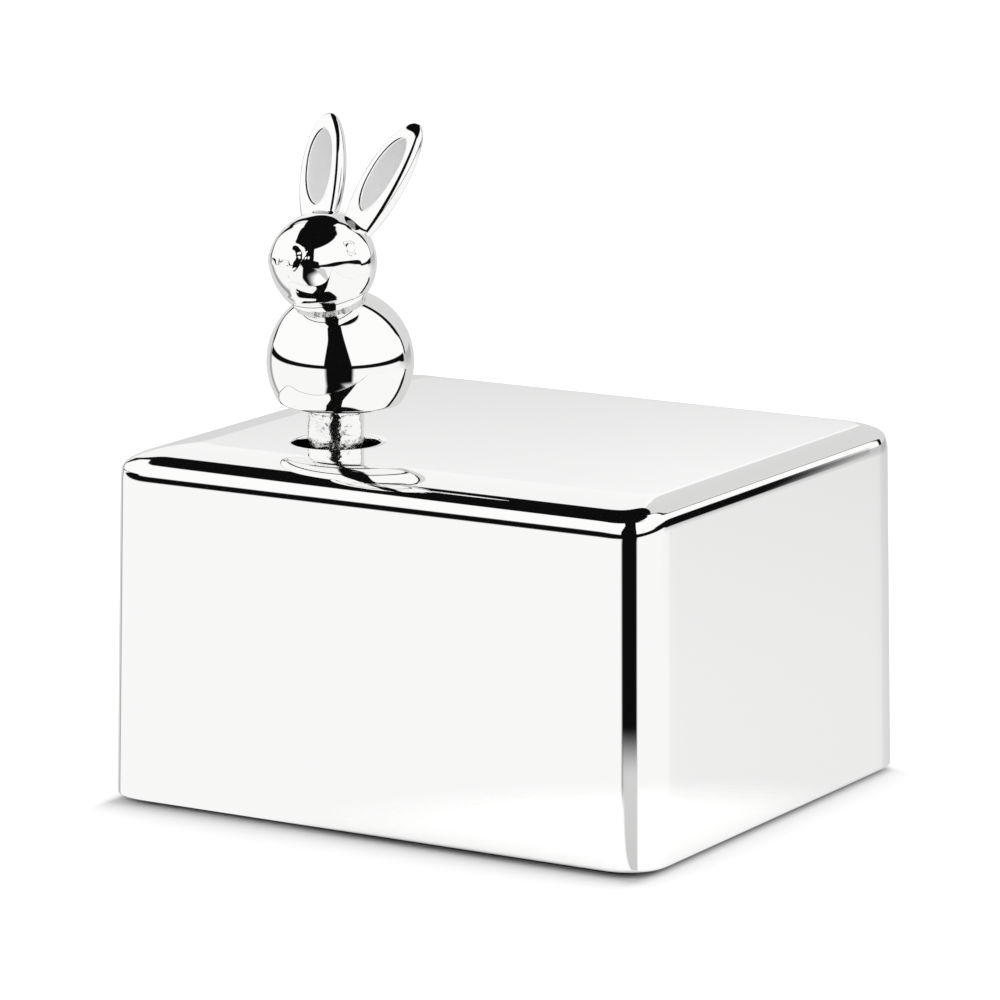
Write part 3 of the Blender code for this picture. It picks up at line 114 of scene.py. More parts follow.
class Value:
    """One socket of a shader's node tree, so that shader maths reads as sums."""

    def __init__(self, tree, socket=None):
        self.tree = tree
        self.socket = socket

    def node(self, kind, settings=(), sockets=(), output=0):
        """Another node: its type, its settings, and the values or links of its sockets."""
        made = self.tree.nodes.new("ShaderNode" + kind)
        for setting, value in dict(settings).items():
            if setting == "points":
                curve = made.mapping.curves[0]
                for point in value[1:-1]:
                    curve.points.new(*point)
                curve.points[0].location = value[0]
                curve.points[-1].location = value[-1]
                made.mapping.update()
            else:
                setattr(made, setting, value)
        for socket, value in dict(sockets).items():
            if isinstance(value, Value):
                self.tree.links.new(value.socket, made.inputs[socket])
            else:
                made.inputs[socket].default_value = value
        return Value(self.tree, made.outputs[output]) if made.outputs else None

    def axis(self, number):
        """The x, y or z part of this vector, for number 0, 1 or 2."""
        return self.node("SeparateXYZ", {}, {"Vector": self}, number)

    def maths(self, operation, *terms):
        """The result of a Math node for these terms, which are values or numbers."""
        return self.node("Math", {"operation": operation}, enumerate(terms))

    def __add__(self, other):
        return self.maths("ADD", self, other)

    def __sub__(self, other):
        return self.maths("SUBTRACT", self, other)

    def __rsub__(self, other):
        return self.maths("SUBTRACT", other, self)

    def __mul__(self, other):
        return self.maths("MULTIPLY", self, other)

    def __truediv__(self, other):
        return self.maths("DIVIDE", self, other)

    __radd__ = __add__
    __rmul__ = __mul__

    def rise(self, low, high):
        """Smoothly from 0 at low to 1 at high."""
        limits = {"Value": self, "From Min": low, "From Max": high}
        return self.node("MapRange", {"interpolation_type": "SMOOTHSTEP"}, limits)

    def curve(self, *points):
        """A smooth curve through points of (this value, result), level beyond its two ends."""
        places, results = zip(*points)
        start, width = places[0], places[-1] - places[0]
        low, height = min(results), max(results) - min(results)
        inner = [((place - start) / width, (result - low) / height) for place, result in points]
        share = self.node("Clamp", {}, {"Value": (self - start) / width})
        return share.node("FloatCurve", {"points": inner}, {"Value": share}) * height + low

    def noise(self, scale, detail=2.0, roughness=0.5):
        """Noise from 0 to 1 at this point, with scale bumps to the metre."""
        spread = {"Vector": self, "Scale": scale, "Detail": detail, "Roughness": roughness}
        return self.node("TexNoise", {}, spread)

    def bump(self, height):
        """The normal over a surface whose height, in metres, is this value times height."""
        return self.node("Bump", {}, {"Height": self, "Distance": height, "Strength": 1.0})

    def tint(self, dark, light):
        """From the colour dark where this value is 0 to the colour light where it is 1."""
        colours = {0: self, 6: (*dark, 1), 7: (*light, 1)}
        return self.node("Mix", {"data_type": "RGBA"}, colours, output=2)


def finish(name, recipe):
    """A material of one shader. recipe gives the shader's sockets for a point on the piece."""
    material = bpy.data.materials.new(name)
    material.use_nodes = True
    material.node_tree.nodes.clear()
    place = Value(material.node_tree).node("TexCoord", output=3)
    shader = place.node("BsdfPrincipled", {}, recipe(place))
    place.node("OutputMaterial", {}, {"Surface": shader})
    return material


def solid(name, material, *grids, sharp=35):
    """One mesh of closed skins, each a grid of points with its columns joined round.

    A grid whose first row is a single point ends in a fan at both its first and last rows, and in
    any other the last row joins the first. A skin that comes out with a negative volume is turned
    over. Edges that turn by more than sharp degrees stay sharp.
    """
    vertices = []
    triangles = []
    start = 0
    for grid in grids:
        rows, columns = grid.shape[:2]
        index = np.arange(rows * columns).reshape(rows, columns)
        fans = np.allclose(grid[0], grid[0, 0], atol=1e-9)
        if fans:
            index[0] = index[0, 0]
            index[-1] = index[-1, 0]
        else:
            index = np.vstack([index, index[:1]])
        ahead = np.roll(index, -1, axis=1)
        quads = np.stack([index[:-1], ahead[:-1], ahead[1:], index[1:]], axis=-1).reshape(-1, 4)
        halves = np.concatenate([quads[:, [0, 1, 2]], quads[:, [0, 2, 3]]])
        a, b, c = (halves[:, k] for k in range(3))
        halves = halves[(a != b) & (b != c) & (c != a)]
        points = grid.reshape(-1, 3)
        corners = points[halves]
        volume = np.einsum("ij,ij->i", corners[:, 0], np.cross(corners[:, 1], corners[:, 2])).sum()
        if volume < 0:
            halves = halves[:, ::-1]
        used, halves = np.unique(halves, return_inverse=True)
        vertices.append(points[used])
        triangles.append(halves.reshape(-1, 3) + start)
        start += len(used)
    vertices = np.concatenate(vertices)
    triangles = np.concatenate(triangles)
    mesh = bpy.data.meshes.new(name)
    mesh.from_pydata(vertices.tolist(), [], triangles.tolist())
    mesh.shade_smooth()
    mesh.set_sharp_from_angle(angle=math.radians(sharp))
    mesh.materials.append(material)
    made = bpy.data.objects.new(name, mesh)
    bpy.context.scene.collection.objects.link(made)
    return made


def corner_ring(inset, height, reach):
    """A rounded rectangle, with an inset from the case's foot and a height for each of its sides.

    The sides are the right, back, left and front ones. Each corner is a quarter of the curve
    |x|^n + |y|^n = reach^n, by equal steps of its normal's angle, and its height runs smoothly from
    one side's to the next one's.
    """
    inset = np.broadcast_to(inset, 4)
    height = np.broadcast_to(height, 4)
    share = np.linspace(0, 1, CORNER_STEPS + 1)
    blend = share * share * (3 - 2 * share)
    angle = share * math.pi / 2
    bend = np.stack([np.cos(angle), np.sin(angle)], axis=1) ** (1 / (CORNER_FULLNESS - 1))
    bend /= (bend**CORNER_FULLNESS).sum(axis=1)[:, None] ** (1 / CORNER_FULLNESS)
    along = np.linspace(0, 1, SIDE_STEPS + 1)[1:-1, None]
    corners = []
    for turn, signs in enumerate(((1, 1), (-1, 1), (-1, -1), (1, -1))):
        sides = [0 if signs[0] > 0 else 2, 1 if signs[1] > 0 else 3]
        middle = np.array([CASE_HALF_WIDTH, CASE_HALF_DEPTH]) - inset[sides] - reach
        plan = (middle + reach * (bend if turn % 2 == 0 else bend[::-1])) * signs
        level = height[turn] * (1 - blend) + height[(turn + 1) % 4] * blend
        corners.append(np.column_stack([plan, level]))
    parts = []
    for corner, after in zip(corners, corners[1:] + corners[:1]):
        parts += [corner, corner[-1] * (1 - along) + after[0] * along]
    return np.concatenate(parts)


def edge_curve(bends, steps):
    """How far in and down the upper edge is, at equal steps of its slope from the wall to the top.

    bends gives the edge's radius at some slopes in degrees, with a straight rise or fall of the
    radius between them. A small step of the slope goes in by the radius times the slope's cosine
    and up by the radius times its sine.
    """
    slope = np.linspace(90, 0, steps + 1)
    middle = (slope[1:] + slope[:-1]) / 2
    radius = np.interp(middle, *zip(*bends)) * math.radians(90 / steps)
    inward = np.insert(np.cumsum(radius * np.cos(np.radians(middle))), 0, 0)
    rise = np.insert(np.cumsum(radius * np.sin(np.radians(middle))), 0, 0)
    return inward, rise[-1] - rise


def edge_rings(steps, inset, top, corner):
    """Rings over the upper edge, from the wall to the top.

    The right and back sides bend sharply, and the left and front ones more widely. The reach of the
    corners falls off from corner towards TOP_CORNER, exponentially with the way in.
    """
    sharp_in, sharp_down = edge_curve(SHARP_BENDS, steps)
    wide_in, wide_down = edge_curve(WIDE_BENDS, steps)
    spare = corner - TOP_CORNER
    rings = []
    for turn in range(steps + 1):
        inward = np.repeat([sharp_in[turn], wide_in[turn]], 2)
        down = np.repeat([sharp_down[turn], wide_down[turn]], 2)
        reach = TOP_CORNER + spare * math.exp(-inward.mean() / spare)
        rings.append(corner_ring(inset + inward, top - down, reach))
    return rings


def case_grid():
    """The case's whole skin as one grid that closes on itself.

    The rows go up the outer wall, over the edge, along straight rays to the hole, down through it,
    and back along the inside to the foot. Every row has a point in each of the same columns.
    """
    over = edge_rings(OUTER_EDGE_STEPS, DRAFT, CASE_TOP, CORNER_REACH)
    under = edge_rings(INNER_EDGE_STEPS, DRAFT + WALL, CASE_TOP - ROOF, CORNER_REACH - WALL)
    flat = over[-1]
    hole = np.array([POST_X, POST_Y])
    rays = flat[:, :2] - hole
    rays /= np.linalg.norm(rays, axis=1)[:, None]

    def mouth(radius, height):
        """A circle about the hole's middle, with a point on each ray."""
        return np.column_stack([hole + rays * radius, np.full(len(rays), height)])

    rounding = np.radians(np.linspace(0, 90, 5))
    foot_inset = FOOT_ROUNDING * (1 - np.sin(rounding))
    foot_height = CASE_FOOT + FOOT_ROUNDING * (1 - np.cos(rounding))
    rows = [corner_ring(i, h, CORNER_REACH) for i, h in zip(foot_inset, foot_height)]
    wall_foot = rows[-1]
    rows += [wall_foot * (1 - share) + over[0] * share for share in WALL_SHARES]
    rows += over
    rim = mouth(HOLE_RADIUS + HOLE_ROUNDING, CASE_TOP)
    rows += [flat * (1 - share) + rim * share for share in TOP_SHARES]
    for angle in rounding[1:]:
        out = HOLE_ROUNDING * (1 - math.sin(angle))
        rows.append(mouth(HOLE_RADIUS + out, CASE_TOP - HOLE_ROUNDING * (1 - math.cos(angle))))
    rows.append(mouth(HOLE_RADIUS, CASE_TOP - ROOF))
    rows += under[::-1]
    rows.append(corner_ring(WALL, CASE_FOOT, CORNER_REACH - WALL))
    return np.stack(rows)


def turned(profile, x, y, columns):
    """A profile of (radius, height) carried round a vertical line at x, y, in equal steps."""
    profile = np.asarray(profile, float)
    turn = np.linspace(0, 2 * math.pi, columns, endpoint=False)
    radius, height = profile[:, :1], profile[:, 1:]
    grid = np.stack([x + radius * np.cos(turn), y + radius * np.sin(turn)], axis=-1)
    return np.concatenate([grid, np.broadcast_to(height[..., None], (*grid.shape[:2], 1))], axis=-1)


def polished_silver(place):
    """Bright plating: a haze too fine to see as grain, and very faint waves from the buffing."""
    haze = place.noise(900, 4)
    waves = place.noise(55, 1)
    return {
        "Base Color": (0.968, 0.966, 0.962, 1),
        "Metallic": 1.0,
        "Roughness": 0.012 + 0.022 * haze,
        "Normal": waves.bump(0.000004),
    }


silver = finish("polished_silver", polished_silver)
LUG_INSET = 0.0051
LUG_BOTTOM = 0.0058
LUG_HEIGHT = 0.0120
LUG_RADIUS = 0.0035
LUG_EDGE = 0.0006
BORE_RADIUS = 0.0015
BORE_DEPTH = 0.0090
BORE_EDGE = 0.0003
lug_profile = (
    (0, LUG_BOTTOM + BORE_DEPTH),
    (BORE_RADIUS, LUG_BOTTOM + BORE_DEPTH),
    (BORE_RADIUS, LUG_BOTTOM + BORE_EDGE),
    (BORE_RADIUS + BORE_EDGE, LUG_BOTTOM),
    (LUG_RADIUS, LUG_BOTTOM),
    (LUG_RADIUS, LUG_BOTTOM + LUG_HEIGHT - LUG_EDGE),
    (LUG_RADIUS - LUG_EDGE, LUG_BOTTOM + LUG_HEIGHT),
    (0, LUG_BOTTOM + LUG_HEIGHT),
)
lug_x = CASE_HALF_WIDTH - LUG_INSET
lug_y = CASE_HALF_DEPTH - LUG_INSET
lugs = [turned(lug_profile, sx * lug_x, sy * lug_y, 48) for sx in (-1, 1) for sy in (-1, 1)]
case = solid("case", silver, case_grid(), *lugs)
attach(case, "case")
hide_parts("box_shell")


# Base: a black painted board with a pad of black felt glued under it, and four steel screws that
# hold the board up against the case's lugs.


def black_paint(place):
    """Matt black paint on fine board, with the board's grain just showing."""
    grain = place.noise(2600, 5, 0.7)
    return {
        "Base Color": grain.tint((0.016, 0.016, 0.016), (0.045, 0.044, 0.042)),
        "Roughness": 0.55 + 0.25 * grain,
        "Normal": grain.bump(0.00003),
    }


def black_felt(place):
    """Pressed wool: short fibres that catch a little light, over thicker and thinner patches."""
    fibres = place.noise(5200, 6, 0.8)
    patches = place.noise(240, 2)
    nap = fibres * 0.8 + patches * 0.3
    return {
        "Base Color": nap.tint((0.004, 0.004, 0.004), (0.03, 0.03, 0.03)),
        "Roughness": 0.96,
        "Sheen Weight": 0.04,
        "Sheen Roughness": 0.5,
        "Normal": fibres.bump(0.0002),
    }


def turned_steel(place):
    """Steel turned on a lathe and left bright, with fine tool marks and a few dull places."""
    marks = place.noise(3800, 3)
    dull = place.noise(420, 2)
    return {
        "Base Color": dull.tint((0.46, 0.47, 0.49), (0.60, 0.61, 0.63)),
        "Metallic": 1.0,
        "Roughness": 0.2 + 0.2 * dull,
        "Normal": marks.bump(0.000006),
    }


def dress(recipe, *nodes):
    """Gives CAD nodes a finish."""
    made = finish(recipe.__name__, recipe)
    for node in nodes:
        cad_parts[node].material_slots[0].material = made


dress(black_paint, "base_board")
dress(black_felt, "felt_pad")
dress(turned_steel, *(f"base_screw_{n}" for n in (1, 2, 3, 4)))


# Movement bed: a zinc casting that carries everything else, on three rubber washers, with three
# screws up through the board.


def cast_zinc(place):
    """Die cast zinc: a grey skin with a soft mottle and the mould's fine grain."""
    mottle = place.noise(310, 3)
    grain = place.noise(3000, 3)
    return {
        "Base Color": mottle.tint((0.50, 0.50, 0.49), (0.68, 0.68, 0.66)),
        "Metallic": 1.0,
        "Roughness": 0.38 + 0.2 * mottle,
        "Normal": grain.bump(0.00002),
    }


def black_rubber(place):
    """Moulded rubber with a dusty bloom."""
    bloom = place.noise(900, 3)
    return {
        "Base Color": bloom.tint((0.018, 0.018, 0.018), (0.05, 0.05, 0.05)),
        "Roughness": 0.8 + 0.1 * bloom,
        "Normal": bloom.bump(0.00004),
    }


steel_screws = [f"{part}_screw_{n}" for part in ("movement", "comb") for n in (1, 2, 3)]
steel_screws += [f"{part}_screw_{n}" for part in ("barrel", "governor") for n in (1, 2)]
dress(cast_zinc, "bedplate")
dress(black_rubber, "rubber_washer_1", "rubber_washer_2", "rubber_washer_3")
dress(turned_steel, "front_bracket_screw", "rear_bracket_screw", *steel_screws)


# Spring motor: the great wheel, the barrel over it with its floor, the coiled mainspring, and the
# winding arbor with its click.


def cut_brass(place):
    """Machined brass, a little warmer where it has darkened with age."""
    age = place.noise(260, 3)
    marks = place.noise(4200, 3)
    return {
        "Base Color": age.tint((0.72, 0.52, 0.23), (0.86, 0.68, 0.34)),
        "Metallic": 1.0,
        "Roughness": 0.18 + 0.2 * age,
        "Normal": marks.bump(0.000006),
    }


def blued_steel(place):
    """Spring steel, tempered to a dark blue that runs to straw in places."""
    heat = place.noise(380, 2)
    return {
        "Base Color": heat.tint((0.10, 0.13, 0.22), (0.26, 0.25, 0.27)),
        "Metallic": 1.0,
        "Roughness": 0.24 + 0.14 * heat,
    }


dress(cut_brass, "great_wheel", "lock_nut", "cylinder_pinion", "cylinder_wheel", "governor_wheel")
dress(cast_zinc, "spring_barrel", "barrel_floor", "governor_frame")
dress(blued_steel, "mainspring", "click_spring")
dress(turned_steel, "winding_arbor", "cylinder_arbor", "worm", "front_bracket", "rear_bracket")


# Tune: the pinned brass cylinder and the steel comb that its pins play.


def pinned_brass(place):
    """Thin brass tube, finely brushed round its length."""
    brush = place.noise(5200, 2)
    age = place.noise(210, 3)
    return {
        "Base Color": age.tint((0.74, 0.55, 0.26), (0.88, 0.71, 0.38)),
        "Metallic": 1.0,
        "Roughness": 0.16 + 0.14 * brush,
        "Normal": brush.bump(0.000004),
    }


def ground_steel(place):
    """Hardened steel, ground flat and tuned with a file."""
    grind = place.node("Mapping", {}, {"Vector": place, "Scale": (900, 6000, 900)}).noise(1, 3)
    return {
        "Base Color": grind.tint((0.44, 0.45, 0.47), (0.64, 0.65, 0.67)),
        "Metallic": 1.0,
        "Roughness": 0.16 + 0.2 * grind,
        "Normal": grind.bump(0.000008),
    }


dress(pinned_brass, "pinned_cylinder")
dress(ground_steel, "comb")


# Governor: a white plastic fan on the worm, an air brake that holds the tune to its speed.


def white_plastic(place):
    """Moulded plastic, slightly uneven in its gloss."""
    gloss = place.noise(700, 2)
    return {
        "Base Color": gloss.tint((0.74, 0.74, 0.70), (0.82, 0.82, 0.78)),
        "Roughness": 0.3 + 0.2 * gloss,
        "Normal": gloss.bump(0.00001),
    }


dress(white_plastic, "fan")


# Post: a rough cast stem under the rabbit, plated but not polished, that goes down through the
# case's hole to the shaft's steel extension.

POST_RADIUS = 0.0041
POST_LOW = 0.0445
POST_HIGH = 0.0568
POST_END = 0.0022
POST_EDGE = 0.0004
HIGHEST_LUMP = 0.00006
WAVES = 48


def grain(points, size, seed):
    """A smooth random height of about 1 at each point, with bumps about size apart.

    It is the sum of sine waves in random directions, divided by the root of half their number.
    """
    chance = np.random.default_rng(seed)
    directions = chance.normal(size=(3, WAVES))
    directions /= np.linalg.norm(directions, axis=0)
    waves = directions * (2 * math.pi / (size * chance.uniform(0.7, 1.8, WAVES)))
    phases = points @ waves + chance.uniform(0, 2 * math.pi, WAVES)
    return np.sin(phases).sum(axis=-1) / math.sqrt(WAVES / 2)


def post_grid():
    """A turned post, rounded off at its ends and made uneven by lumps of two sizes.

    The rounding takes POST_EDGE times exp(-distance from the nearer end / 0.2 mm) off its radius.
    """
    heights = np.linspace(POST_LOW, POST_HIGH, 110)
    edge = np.minimum(heights - POST_LOW, POST_HIGH - heights)
    radius = POST_RADIUS - HIGHEST_LUMP - POST_EDGE * np.exp(-edge / 0.0002)
    low_end = [(0, POST_LOW), (POST_END, POST_LOW)]
    high_end = [(POST_END, POST_HIGH), (0, POST_HIGH)]
    grid = turned([*low_end, *zip(radius, heights), *high_end], POST_X, POST_Y, 180)
    outward = (grid[..., :2] - (POST_X, POST_Y)) / POST_RADIUS
    rough = 0.000018 * grain(grid, 0.0018, 1) + 0.000006 * grain(grid, 0.0006, 2)
    grid[..., :2] += outward * np.minimum(rough, HIGHEST_LUMP)[..., None]
    return grid


def cast_silver(place):
    """Plating over a cast skin that was never buffed: bright, but broken up by fine bumps."""
    lumps = place.noise(1500, 3, 0.6)
    return {
        "Base Color": (0.955, 0.953, 0.95, 1),
        "Metallic": 1.0,
        "Roughness": 0.05 + 0.1 * lumps,
        "Normal": lumps.bump(0.00004),
    }


rough_silver = finish("cast_silver", cast_silver)
post = solid("post", rough_silver, post_grid(), sharp=60)
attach(post, "rabbit_knob")
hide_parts("figure_post")
dress(turned_steel, "shaft_extension")


# Rabbit's body: a polished ball with a small flat foot, soldered to the post and to the head.

BODY_CENTRE = np.array([-0.0184, -0.0160, 0.0633])
BODY_RADIUS = 0.0106
BODY_FOOT = 0.0062
BODY_ROUNDING = 0.0012


def body_profile():
    """A circle cut flat below its centre, with a quarter of a small circle between the two."""
    reach = math.sqrt((BODY_RADIUS - BODY_ROUNDING) ** 2 - (BODY_FOOT - BODY_ROUNDING) ** 2)
    start = -math.atan2(BODY_FOOT - BODY_ROUNDING, reach)
    low = np.linspace(-math.pi / 2, start, 14)
    side = np.linspace(start, math.pi / 2, 120)[1:-1]
    edge_out = reach + BODY_ROUNDING * np.cos(low)
    edge_up = BODY_ROUNDING * (1 + np.sin(low)) - BODY_FOOT
    edge = np.stack([edge_out, edge_up], axis=1)
    ball = BODY_RADIUS * np.stack([np.cos(side), np.sin(side)], axis=1)
    flat = [(0, -BODY_FOOT), (0.004, -BODY_FOOT), (reach - 0.0002, -BODY_FOOT)]
    return np.concatenate([flat, edge, ball, [(0, BODY_RADIUS)]]) + (0, BODY_CENTRE[2])


body = solid("rabbit_body_ball", silver, turned(body_profile(), *BODY_CENTRE[:2], 160))
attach(body, "rabbit_knob")
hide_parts("rabbit_body")


# Rabbit's head: a smaller ball drawn out to a crest down the middle of its face, which ends under
# the nose. The eyes' rings were cut in the mould, and polishing left wrinkles round the nose.

HEAD_CENTRE = np.array([-0.0184, -0.0203, 0.0782])
HEAD_RADIUS = 0.0076
FACE_RIDGE = 0.0020
FACE_SIDE = 75
CREST_ROUNDING = 3.0
BROW_FLAT = 0.0005
CHEEK_FLAT = 0.00035
NOSE_HEIGHT = 0.00026
NOSE_WIDTH = 6.5
GROOVE_RING = 12
GROOVE_DEPTH = 0.00012
WRINKLES = 0.0001
EYE_SIDE = 67
EYE_UP = 23
EYE_RING = 7.2
EYE_DEPTH = 0.00016
PIT_DEPTH = 0.00022
MOUTH_ARC = 17
MOUTH_DEPTH = 0.00007
MOUTH_END = 0.00012
SEAM_DEPTH = 0.00007


def crowded(low, high, inner_low, inner_high, outside, inside):
    """Numbers from low to high, close together between inner_low and inner_high."""
    before = np.linspace(low, inner_low, outside, endpoint=False)
    between = np.linspace(inner_low, inner_high, inside, endpoint=False)
    return np.concatenate([before, between, np.linspace(inner_high, high, outside)])


def facing(side, up):
    """The unit direction side degrees round from the front and up degrees above level."""
    side, up = np.broadcast_arrays(np.radians(side), np.radians(up))
    return np.stack([np.sin(side) * np.cos(up), -np.cos(side) * np.cos(up), np.sin(up)], -1)


def apart(directions, side, up):
    """Degrees between each direction and the one at side and up."""
    return np.degrees(np.arccos(np.clip(directions @ facing(side, up), -1, 1)))


def dent(distance, width):
    """A smooth bell, 1 at distance 0 and about a third at width."""
    return np.exp(-((distance / width) ** 2))


def head_grid():
    """A ball drawn out towards the face's middle plane, less the grooves of the mouth and eyes.

    The growth of its radius is (1 - angle from the plane / FACE_SIDE)^1.3, with the crest itself
    rounded. It fades out slowly over the brow and sets off sharply under the nose. The brow and the
    cheeks are pressed a little flatter than the ball, and the nose is a small bump inside an uneven
    groove. An eye is a ring cut at a constant angle about its middle, with a pit on the side of the
    nose. The mouth is two arcs that leave the nose, and the wrinkles are waves that fade out away
    from it. Angles are in degrees.
    """
    round_about = crowded(-180, 180, -92, 92, 44, 300)[:-1]
    side, up = np.meshgrid(round_about, crowded(-90, 90, -34, 50, 28, 160))
    ways = facing(side, up)
    nose = apart(ways, 0, 11)
    beside = np.degrees(np.arcsin(np.clip(ways[..., 0], -1, 1)))
    crest = np.sqrt(beside**2 + CREST_ROUNDING**2) - CREST_ROUNDING
    ahead = np.clip((-ways[..., 1] + 0.1) / 0.3, 0, 1)
    chin = np.clip((up + 34) / 38, 0, 1) ** 1.4
    brow = np.clip((50 - up) / 40, 0, 1)
    ridge = np.clip(1 - crest / FACE_SIDE, 0, 1) ** 1.3 * chin * brow**1.5 * ahead
    above = np.clip((up - 20) / 55, 0, 1)
    above = above * above * (3 - 2 * above) * np.clip(0.4 - 1.2 * ways[..., 1], 0, 1)
    cheek = dent(np.abs(beside) - 62, 22) * dent(up - 5, 40) * ahead
    radius = HEAD_RADIUS + FACE_RIDGE * ridge - BROW_FLAT * above - CHEEK_FLAT * cheek
    for turn in (-1, 1):
        eye = apart(ways, turn * EYE_SIDE, EYE_UP)
        radius -= EYE_DEPTH * dent(eye - EYE_RING, 1.3) * (0.4 + 0.6 * (side * turn > 60))
        radius -= PIT_DEPTH * dent(apart(ways, turn * 59.5, 29), 1.8)
        mouth = apart(ways, turn * 3, 32)
        radius -= MOUTH_DEPTH * dent(mouth - MOUTH_ARC, 0.9) * dent(apart(ways, turn * 9, 18), 7)
        radius -= MOUTH_END * dent(apart(ways, turn * 17, 13), 1.5)
    seam = dent(beside - 3 * np.sin(np.radians(up * 9)), 2.2) * dent(up + 8, 14)
    radius -= SEAM_DEPTH * seam * (1 + 0.8 * grain(ways, 0.16, 6))
    groove = dent(nose - GROOVE_RING, 2.6) * (1 + 0.5 * grain(ways, 0.25, 7))
    radius += NOSE_HEIGHT * dent(nose, NOSE_WIDTH) - GROOVE_DEPTH * groove
    radius += WRINKLES * grain(ways, 0.2, 5) * dent(nose, 12)
    return HEAD_CENTRE + ways * radius[..., None]


head = solid("rabbit_head_ball", silver, head_grid(), sharp=80)
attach(head, "rabbit_knob")
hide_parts("rabbit_head")


# Ears: two long castings that lean back and apart, each with a matt hollow in front inside a
# polished rim. Their roots go into the head.

EAR_LENGTH = 0.0161
EAR_HALF_WIDTH = 0.00345
EAR_FRONT = 0.0018
EAR_BACK = 0.0014
EAR_SQUARENESS = 4
EAR_SPLAY = 14
EAR_LEAN = 31
EAR_ROOT = (0.0036, 0.0046, 0.0058)
EARS_TILT = 2
HOLLOW_DEPTH = 0.00016
HOLLOW_HALF_WIDTH = 0.0023
HOLLOW_STEP = 0.0004
MATT_STEP = 0.0001


def turn_about(axis, degrees):
    """The matrix of a turn about the x axis, 0, or the y axis, 1."""
    matrix = np.eye(3)
    first, second = (axis + 1) % 3, (axis + 2) % 3
    matrix[first, first] = matrix[second, second] = math.cos(math.radians(degrees))
    matrix[second, first] = math.sin(math.radians(degrees))
    matrix[first, second] = -matrix[second, first]
    return matrix


def ear_grid(turn):
    """An ear from its root to its tip, and how matt each point is, from 0 to 1.

    At share s of its length the ear is sqrt(1 - |(s - 0.36) / 0.64|^1.95) as wide as at its widest,
    and the hollow's width goes by the same rule with other numbers. Each section is half a squarish
    oval in front, pressed in by the hollow, and half an ellipse behind.
    """

    def oval(middle, reach, power):
        """The width at each share s of the length: sqrt(1 - |(s - middle) / reach|^power)."""
        width = np.sqrt(np.clip(1 - (np.abs(share - middle) / reach) ** power, 0, 1))
        return width[:, None]

    tip = 1 - 0.1 * np.linspace(1, 0, 24)[1:] ** 2
    share = np.concatenate([[-0.18], np.linspace(-0.175, 0.9, 120), tip])
    swell = oval(0.36, 0.64, 1.95)
    rim = HOLLOW_HALF_WIDTH * oval(0.445, 0.385, 2.2)
    front = np.cos(np.linspace(math.pi, 0, 130))
    back = np.cos(np.linspace(0, math.pi, 46)[1:-1])
    across = np.concatenate([front, back])[None, :]
    is_front = (np.arange(across.size) < front.size)[None, :]
    x = EAR_HALF_WIDTH * across * swell
    within = rim - np.abs(x)
    inside = np.clip(within / HOLLOW_STEP, 0, 1) * is_front
    inside = inside * inside * (3 - 2 * inside)
    matt = np.clip((within - HOLLOW_STEP) / MATT_STEP, 0, 1) * is_front
    front_bow = (1 - across**EAR_SQUARENESS) ** (1 / EAR_SQUARENESS)
    front_depth = -EAR_FRONT * front_bow * swell + HOLLOW_DEPTH * inside
    back_depth = EAR_BACK * np.sqrt(1 - across**2) * swell
    depth = np.where(is_front, front_depth, back_depth)
    z = np.broadcast_to(EAR_LENGTH * share[:, None], x.shape)
    points = np.stack([x, depth, z], axis=-1)
    points[0] = points[0].mean(axis=0)
    points = points @ turn_about(1, turn * EAR_SPLAY).T @ turn_about(0, -EAR_LEAN).T
    points += (turn * EAR_ROOT[0], *EAR_ROOT[1:])
    return points @ turn_about(1, EARS_TILT).T + HEAD_CENTRE, matt


def ear_silver(place):
    """Polished plating, but matt and slightly grey in the hollow."""
    hollow = place.node("Attribute", {"attribute_name": "hollow"}, output=2)
    haze = place.noise(900, 4)
    sand = place.noise(9000, 2)
    return {
        "Base Color": hollow.tint((0.968, 0.966, 0.962), (0.82, 0.82, 0.82)),
        "Metallic": 1.0,
        "Roughness": (0.012 + 0.022 * haze) * (1 - hollow) + hollow * (0.5 + 0.1 * haze),
        "Normal": (sand * hollow).bump(0.00001),
    }


ear_finish = finish("ear_silver", ear_silver)
for ear_name, turn in (("rabbit_ear_left", -1), ("rabbit_ear_right", 1)):
    points, matt = ear_grid(turn)
    ear = solid(ear_name + "_casting", ear_finish, points, sharp=70)
    hollow = ear.data.attributes.new("hollow", "FLOAT", "POINT")
    matt = np.concatenate([matt[0, :1], matt[1:-1].ravel(), matt[-1, :1]])
    hollow.data.foreach_set("value", matt.astype(np.float32))
    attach(ear, "rabbit_knob")
    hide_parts(ear_name)


# Solder: a rough bead between the head and the body, left as it was when the two were joined.

BEAD_THICKNESS = 0.0005


def bead_grid():
    """A lumpy ring where the head meets the body: a small circle carried round a large one.

    The large circle is the one in which the two balls cut one another.
    """
    axis = HEAD_CENTRE - BODY_CENTRE
    length = np.linalg.norm(axis)
    axis /= length
    along = (length**2 + BODY_RADIUS**2 - HEAD_RADIUS**2) / (2 * length)
    reach = math.sqrt(BODY_RADIUS**2 - along**2)
    first = np.array([1.0, 0, 0])
    second = np.cross(axis, first)
    round_about, section = (np.linspace(0, 2 * math.pi, n, endpoint=False) for n in (300, 40))
    round_about, section = np.meshgrid(round_about, section)
    out = np.cos(round_about)[..., None] * first + np.sin(round_about)[..., None] * second
    middle = BODY_CENTRE + axis * along + out * reach
    lumps = 0.00005 * grain(middle, 0.0015, 8) + 0.00002 * grain(middle, 0.0005, 9)
    sideways = np.cos(section)[..., None] * out + np.sin(section)[..., None] * axis
    offset = sideways * (BEAD_THICKNESS + lumps)[..., None]
    skin = middle + offset
    return skin + offset * 0.06 * grain(skin, 0.0005, 10)[..., None]


